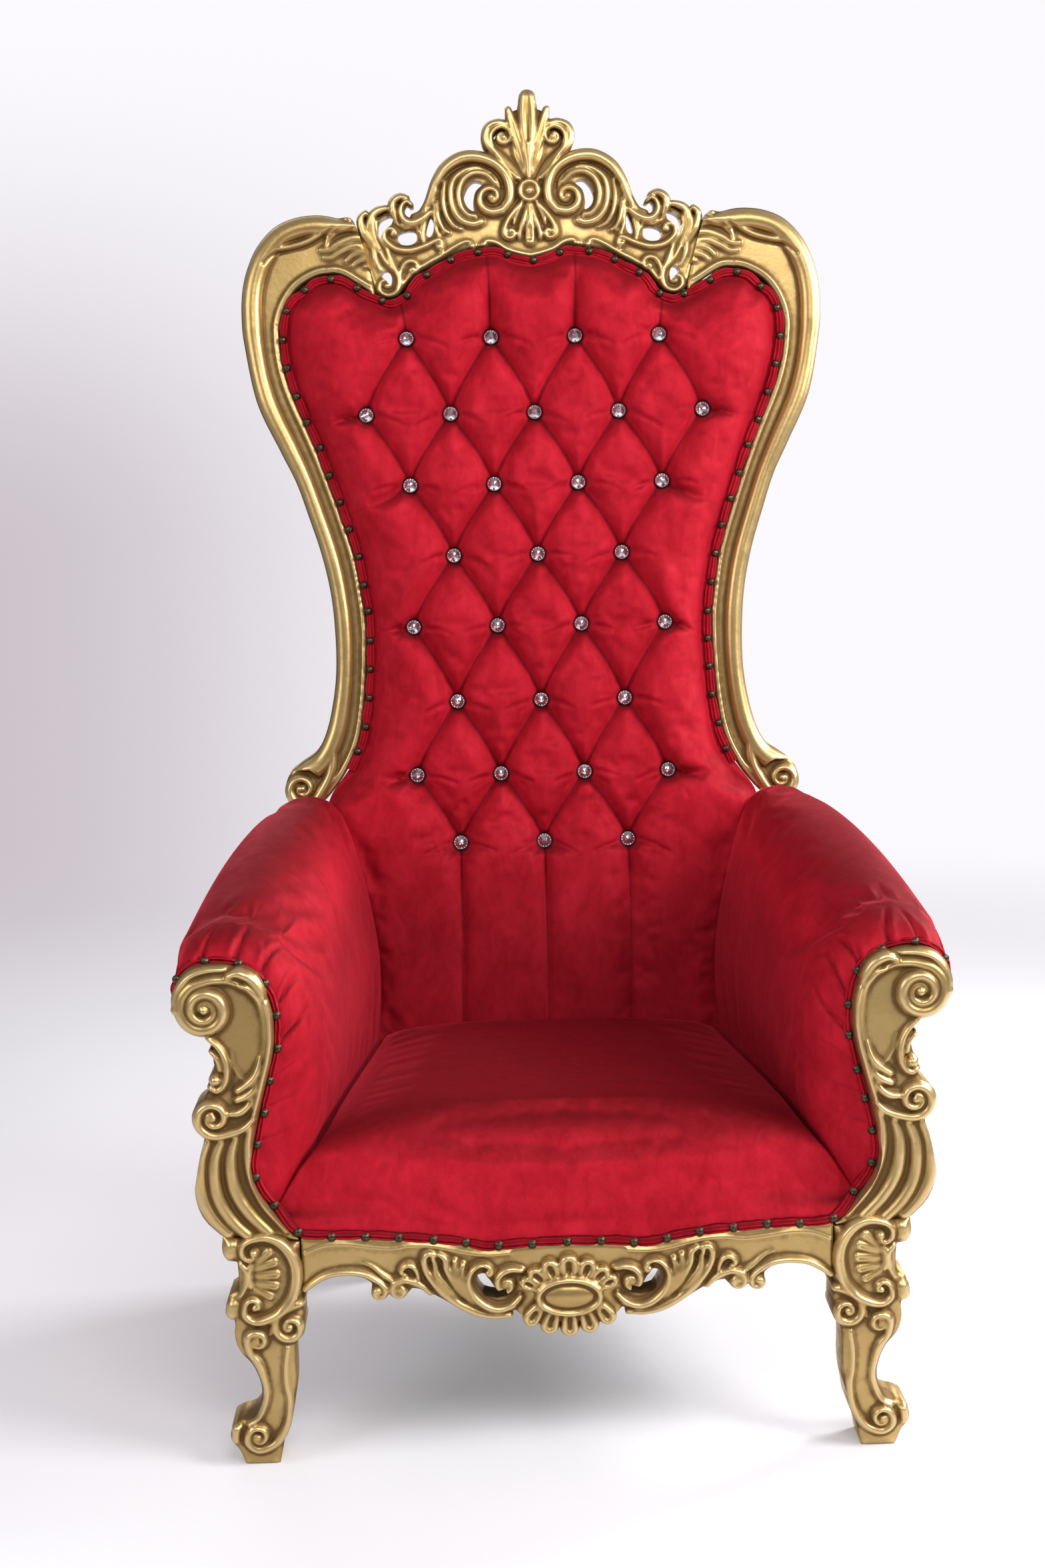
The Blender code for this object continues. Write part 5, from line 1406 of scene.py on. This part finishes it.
# ---------------------------------------------------------------- trim
def evenly(path, spacing, start=0.0):
    """Places along a path at an even spacing, with the direction of the path there."""
    steps = np.linalg.norm(np.diff(path, axis=0), axis=1)
    run = np.concatenate([[0], np.cumsum(steps)])
    stops = np.arange(start, run[-1], spacing)

    def at(places):
        return np.column_stack([np.interp(places, run, path[:, axis]) for axis in (0, 1)])

    along = at(stops + 0.002) - at(stops - 0.002)
    along /= np.maximum(np.linalg.norm(along, axis=1, keepdims=True), 1e-9)
    return stops, at(stops), along


def gimp(name, path, plane, spacing, first, seed, half=0.0064, rise=0.0068):
    """A folded velvet strip, pinched at every nail. plane(z) is the y that it lies on."""
    chance = np.random.default_rng(seed)
    stops, middle, along = evenly(path, 0.0022)
    nail = (stops - first) % spacing
    nail = np.minimum(nail, spacing - nail)
    pinch = np.exp(-(nail / 0.0070) ** 2)
    phase = np.cumsum(chance.normal(0, 0.09, len(stops)))
    pucker = np.convolve(chance.normal(0, 1, len(stops) + 4), [0.15, 0.25, 0.2, 0.25, 0.15], "valid")
    sway = np.convolve(chance.normal(0, 0.0011, len(stops) + 12), np.ones(13) / 13, "valid")
    across = np.linspace(-1, 1, 21)
    rings, painted_shade_tones = [], []
    for k, ((x, z), (tx, tz)) in enumerate(zip(middle, along)):
        width = half * (1 - 0.22 * pinch[k] + 0.10 * pucker[k])
        wave = np.cos(2.6 * math.pi * across + 0.8 * phase[k])
        folds = 0.78 + 0.22 * wave + 0.10 * pucker[k] * np.cos(1.2 * across + phase[k])
        lift = rise * (1 - 0.34 * pinch[k]) * np.sqrt(np.clip(1 - across ** 2, 0, 1)) * folds
        place_x = x - tz * (across * width + sway[k])
        place_z = z + tx * (across * width + sway[k])
        top = np.column_stack([place_x, plane(place_z) - lift, place_z])
        under = top[::-1][1:-1].copy()
        under[:, 1] = plane(under[:, 2]) + 0.004
        rings.append(np.vstack([top, under]))
        # painted shade in the troughs of the folds, at the edges where the strip tucks under, and all over
        # its underside
        dark = np.clip(-wave, 0, 1) * 0.6 + 0.8 * np.abs(across) ** 6
        painted_shade_tones.append(np.concatenate([dark, np.ones(len(under))]))
    piece = skin(name, rings)
    write_tone(piece.data, "fold", np.concatenate(painted_shade_tones))
    return piece


def nail_heads(name, path, plane, spacing, start, seed, facing=-1):
    """Hammered dome nails along a path, joined in one piece."""
    chance = np.random.default_rng(seed)
    _, middle, along = evenly(path, spacing, start)
    points, shell = ball(18, 10)
    dome = np.array(points)
    # a thin brim where the dome meets the velvet
    flare = np.where((dome[:, 2] > -0.2) & (dome[:, 2] < 0.12), 1.14, 1.0)
    verts, faces = [], []
    for number, ((x, z), (tx, tz)) in enumerate(zip(middle, along)):
        drift = chance.normal(0, 0.0010, 2)
        spot_x = x - tz * drift[0] + tx * drift[1]
        spot_z = z + tx * drift[0] + tz * drift[1]
        dent = 1 + 0.07 * np.sin(5.1 * dome[:, 0] + 2.3 * number) * np.sin(4.7 * dome[:, 1] + number)
        deep = NAIL_RADIUS * np.where(dome[:, 2] > 0, 0.78 * dome[:, 2] * dent, 0.35 * dome[:, 2])
        verts.append(np.column_stack([spot_x + NAIL_RADIUS * flare * dome[:, 0],
                                      plane(spot_z) + facing * deep,
                                      spot_z + NAIL_RADIUS * flare * dome[:, 1]]))
        faces += [[v + number * len(dome) for v in face] for face in shell]
    mesh = bpy.data.meshes.new(name)
    mesh.from_pydata(np.concatenate(verts).tolist(), [], faces)
    return dress(finish_piece(name, mesh), BRONZE, "nail_bronze")


def whole_path(right_side):
    """Path over both sides, from its right half ending at the centre."""
    half = smooth_path(right_side, 0.002)
    return np.vstack([half, (half * (-1, 1))[::-1][1:]])


def front_trim():
    """Gimp and nails over the arm posts and along the apron, whose edge stands further out."""
    def plane(z):
        return np.interp(z, (0.312, 0.340), (FRONT_LINE_Y - APRON_TRIM_STEP, FRONT_LINE_Y))

    path = whole_path(FRONT_LINE)
    piece = gimp("front_gimp", path, plane, NAIL_SPACING, 0.0, 3)
    dress(piece, VELVET, "crimson_velvet", "front_welt")
    nail_heads("front_nails", path, lambda z: plane(z) - 0.0048, NAIL_SPACING, NAIL_SPACING, 5)


def back_trim():
    """Gimp and nails inside the stiles and under the crest."""
    line = [(x - WELT_INSET + 0.0012, z) for x, z in STILE_INNER[1:17]] + BACK_TOP + [(0.0, 1.571)]
    path = whole_path(line)
    start = 0.5 * NAIL_SPACING
    piece = gimp("back_gimp", path, lambda z: back_y(z) - 0.0045, NAIL_SPACING, start, 9, half=0.0066)
    dress(piece, VELVET, "crimson_velvet", "back_welt")
    nail_heads("back_nails", path, lambda z: back_y(z) - 0.0094, NAIL_SPACING, start, 6)


def crystal_buttons():
    """Cut-glass buttons: a pointed stone with flat facets, in a silver cup with claws round it."""
    facets, claws = 16, 14
    stone, cup = 0.0092, 0.0104         # radii
    points, shell = ball(8, 6)
    lean = Matrix.Rotation(math.pi / 2 - math.atan(BACK_LEAN), 4, "X")

    def circle(work, radius, height, count, turn=0.0):
        angles = [2 * math.pi * (k + turn) / count for k in range(count)]
        return [work.verts.new((radius * math.cos(a), radius * math.sin(a), height)) for a in angles]

    for number, (node, centre) in enumerate(button_places(), start=1):
        place = Matrix.Translation(centre) @ lean @ Matrix.Rotation(2.4 * number, 4, "Z")
        work = bmesh.new()
        around = 3 * facets
        walls = [circle(work, radius, height, around) for radius, height in
                 ((cup, -0.0042), (1.03 * cup, -0.0010), (cup, 0.0006), (stone, 0.0006))]
        for first, second in zip(walls, walls[1:]):
            for k in range(around):
                j = (k + 1) % around
                work.faces.new((first[k], first[j], second[j], second[k]))
        work.faces.new(walls[0])
        for k in range(claws):
            angle = 2 * math.pi * k / claws
            claw = Vector((stone * math.cos(angle), stone * math.sin(angle), 0.0008))
            verts = [work.verts.new(claw + 0.0009 * Vector(point)) for point in points]
            for corners in shell:
                work.faces.new([verts[v] for v in corners])
        for face in work.faces:
            face.material_index = 1
        girdle = circle(work, stone, 0.0007, facets)
        table = circle(work, 0.46 * stone, 0.0034, facets // 2, 0.25)
        tip = work.verts.new((0.0, 0.0, 0.0046))
        for k in range(facets):
            work.faces.new((girdle[k], girdle[(k + 1) % facets], table[k // 2]))
        for k in range(facets // 2):
            j = (k + 1) % (facets // 2)
            work.faces.new((table[k], girdle[(2 * k + 2) % facets], table[j]))
            work.faces.new((table[k], table[j], tip))
        work.faces.new(list(reversed(girdle)))
        bmesh.ops.transform(work, matrix=place, verts=work.verts)
        mesh = bpy.data.meshes.new(node)
        work.to_mesh(mesh)
        work.free()
        piece = add_object(f"crystal_{number:02d}", mesh)
        dress(piece, CRYSTAL, "crystal", node)
        mesh.materials.append(SILVER)


def outside_arms():
    """Velvet stretched over the arms' outer faces: turned in at the edges, tucked under the roll."""
    for side, label in SIDES:
        node = "outside_arm_" + label
        low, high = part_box(node)
        piece = add_object("outside_arm_cover_" + label, frame["nodes"][node].data.copy())
        work = bmesh.new()
        work.from_mesh(piece.data)
        bmesh.ops.remove_doubles(work, verts=work.verts, dist=0.00001)
        for axis, step in ((1, 0.012), (2, 0.010)):
            normal = [0, 0, 0]
            normal[axis] = 1
            for stop in np.arange(low[axis], high[axis], step)[1:]:
                bmesh.ops.bisect_plane(work, geom=work.verts[:] + work.edges[:] + work.faces[:],
                                       plane_co=[stop * n for n in normal], plane_no=normal)
        work.normal_update()
        for vert in work.verts:
            # padded, but turned in along its front, rear and lower edges
            along = min(vert.co.y - low[1], high[1] - vert.co.y) / 0.030
            up = (vert.co.z - low[2]) / 0.030
            full = math.sqrt(min(1.0, max(0.0, along))) * math.sqrt(min(1.0, max(0.0, up)))
            if vert.normal.x * side > 0.4:
                vert.co.x += side * 0.008 * (full - 0.5)
            # its upper part reaches up and out under the roll, more so towards the rear
            rear = (vert.co.y - low[1]) / (high[1] - low[1])
            above = max(0.0, (vert.co.z - OUTSIDE_ARM_BEND) / (high[2] - OUTSIDE_ARM_BEND))
            vert.co.z += above * (0.055 + 0.080 * rear)
            vert.co.x += side * above ** 2 * (0.012 + 0.006 * rear)
        work.to_mesh(piece.data)
        work.free()
        piece.data.shade_smooth()
        piece.data.set_sharp_from_angle(angle=math.radians(50.0))
        dress(piece, VELVET, "crimson_velvet", node)


def outside_back():
    """Padded velvet panel behind the back, nailed round its edge."""
    low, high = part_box("outside_back")
    path = np.array(board_outlines("outside_back")[0])
    centre = path.mean(axis=0)
    # the cover runs in under the stiles and the crest, above the arms
    spread = np.interp(path[:, 1], (0.55, 0.75, 1.45, 1.54), (0.0, 0.007, 0.010, 0.020))
    path += spread[:, None] * (path - centre) / np.linalg.norm(path - centre, axis=1, keepdims=True)
    outline = path.tolist()
    r = Relief((low[0] - 0.03, low[2] - 0.01), (high[0] + 0.03, high[2] + 0.03), cell=0.005)
    r.board(outline, smooth=False)
    inside = np.clip(r.depth, 0, None)
    r.height = 0.002 + 0.010 * (1 - (1 - np.clip(inside / 0.050, 0, 1)) ** 2) ** 0.6
    piece = r.build("outside_back_panel", lambda x, z: back_y(z) + 0.0515, 0.005, facing=1)
    dress(piece, VELVET, "crimson_velvet", "outside_back")
    path = np.vstack([path, path[:1]])
    inner = path + 0.009 * (centre - path) / np.linalg.norm(centre - path, axis=1, keepdims=True)
    nail_heads("outside_back_nails", inner, lambda z: back_y(z) + 0.0560, 0.032, 0.0, 8, facing=1)


# ---------------------------------------------------------------- light, floor, camera
def backdrop():
    """World: dim all round, near-white behind the chair, and lilac-grey at its left middle."""
    world = bpy.data.worlds.new("studio")
    world.use_nodes = True
    tree = world.node_tree
    paint = tree.nodes["Background"]

    def made(kind, **settings):
        node = tree.nodes.new(kind)
        for key, value in settings.items():
            setattr(node, key, value)
        return node

    def spread(value, low, high, start, end):
        node = made("ShaderNodeMapRange", interpolation_type="SMOOTHSTEP")
        for key, number in (("From Min", low), ("From Max", high), ("To Min", start), ("To Max", end)):
            node.inputs[key].default_value = number
        tree.links.new(value, node.inputs["Value"])
        return node.outputs["Result"]

    def blend(share, first, second):
        node = made("ShaderNodeMix", data_type="RGBA")
        tree.links.new(share, node.inputs["Factor"])
        for socket, value in ((node.inputs[6], first), (node.inputs[7], second)):
            if isinstance(value, tuple):
                socket.default_value = (*value, 1.0)
            else:
                tree.links.new(value, socket)
        return node.outputs[2]

    way = made("ShaderNodeSeparateXYZ")
    tree.links.new(made("ShaderNodeTexCoord").outputs["Generated"], way.inputs["Vector"])
    x, y, z = way.outputs
    # the shade lies in a band at mid height and fades out to the right
    upper = spread(z, 0.19, -0.04, 0.0, 1.0)
    lower = spread(z, -0.42, -0.16, 0.0, 1.0)
    middle = made("ShaderNodeMath", operation="MULTIPLY")
    tree.links.new(upper, middle.inputs[0])
    tree.links.new(lower, middle.inputs[1])
    shade = made("ShaderNodeMath", operation="MULTIPLY")
    tree.links.new(middle.outputs[0], shade.inputs[0])
    tree.links.new(spread(x, -0.22, 0.06, 1.0, 0.0), shade.inputs[1])
    bright = blend(shade.outputs[0], BACKDROP_WHITE, BACKDROP_SHADE)
    tree.links.new(blend(spread(y, 0.80, 0.93, 0.0, 1.0), STUDIO_DIM, bright), paint.inputs["Color"])
    paint.inputs["Strength"].default_value = 1.0
    return world


def floor_and_light():
    """White studio: a bright backdrop behind the chair, softboxes to both sides and above."""
    scene = bpy.context.scene
    scene.view_settings.view_transform = "Standard"
    bpy.ops.mesh.primitive_plane_add(size=FLOOR_SIZE)
    floor = bpy.context.object
    floor.name = "floor"
    floor.data.materials.append(floor_material())
    scene.world = backdrop()
    for name, place, size, power in LIGHTS:
        light = bpy.data.lights.new(name, "AREA")
        light.size = size
        light.energy = power
        lamp = add_object(name, light)
        lamp.location = place
        aim = Vector(LIGHT_AIM) - Vector(place)
        lamp.rotation_euler = aim.to_track_quat("-Z", "Y").to_euler()


def camera():
    """Camera at the chair's photographed viewing angle."""
    data = bpy.data.cameras.new("camera")
    data.lens = CAMERA_LENS
    data.clip_end = 100.0
    view = add_object("camera", data)
    turn = (Matrix.Rotation(math.radians(CAMERA_YAW), 4, "Z")
            @ Matrix.Rotation(math.radians(90.0 - CAMERA_PITCH), 4, "X")
            @ Matrix.Rotation(math.radians(-CAMERA_ROLL), 4, "Z"))
    view.matrix_world = Matrix.Translation(CAMERA_PLACE) @ turn
    bpy.context.scene.camera = view


# ---------------------------------------------------------------- build
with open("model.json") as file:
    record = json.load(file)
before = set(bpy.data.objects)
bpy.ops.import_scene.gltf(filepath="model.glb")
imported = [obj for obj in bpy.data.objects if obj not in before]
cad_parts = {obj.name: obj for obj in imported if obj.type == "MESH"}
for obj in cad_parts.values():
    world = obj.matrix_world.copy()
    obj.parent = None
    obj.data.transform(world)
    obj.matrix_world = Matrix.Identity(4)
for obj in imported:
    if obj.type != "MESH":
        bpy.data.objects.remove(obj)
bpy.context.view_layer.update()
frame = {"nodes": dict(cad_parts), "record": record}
GOLD = gold_material()
VELVET = velvet_material()
WOOD = wood_material()
LINING = lining_material()
CRYSTAL = crystal_material()
BRONZE = bronze_material()
SILVER = silver_material()
LOOKS = {"antique_gold": GOLD, "crimson_velvet": VELVET, "frame_wood": WOOD,
         "black_lining": LINING, "crystal": CRYSTAL}
for part in frame["record"]["subparts"]:
    node = frame["nodes"][part["node"]]
    node.data.materials.clear()
    node.data.materials.append(LOOKS[part["material_slot"]])

camera()
floor_and_light()
crest()
stiles()
arm_posts()
front_legs()
apron()
cartouche()
back_cushion()
seat_cushion()
arm_pads()
front_trim()
back_trim()
crystal_buttons()
outside_back()
outside_arms()
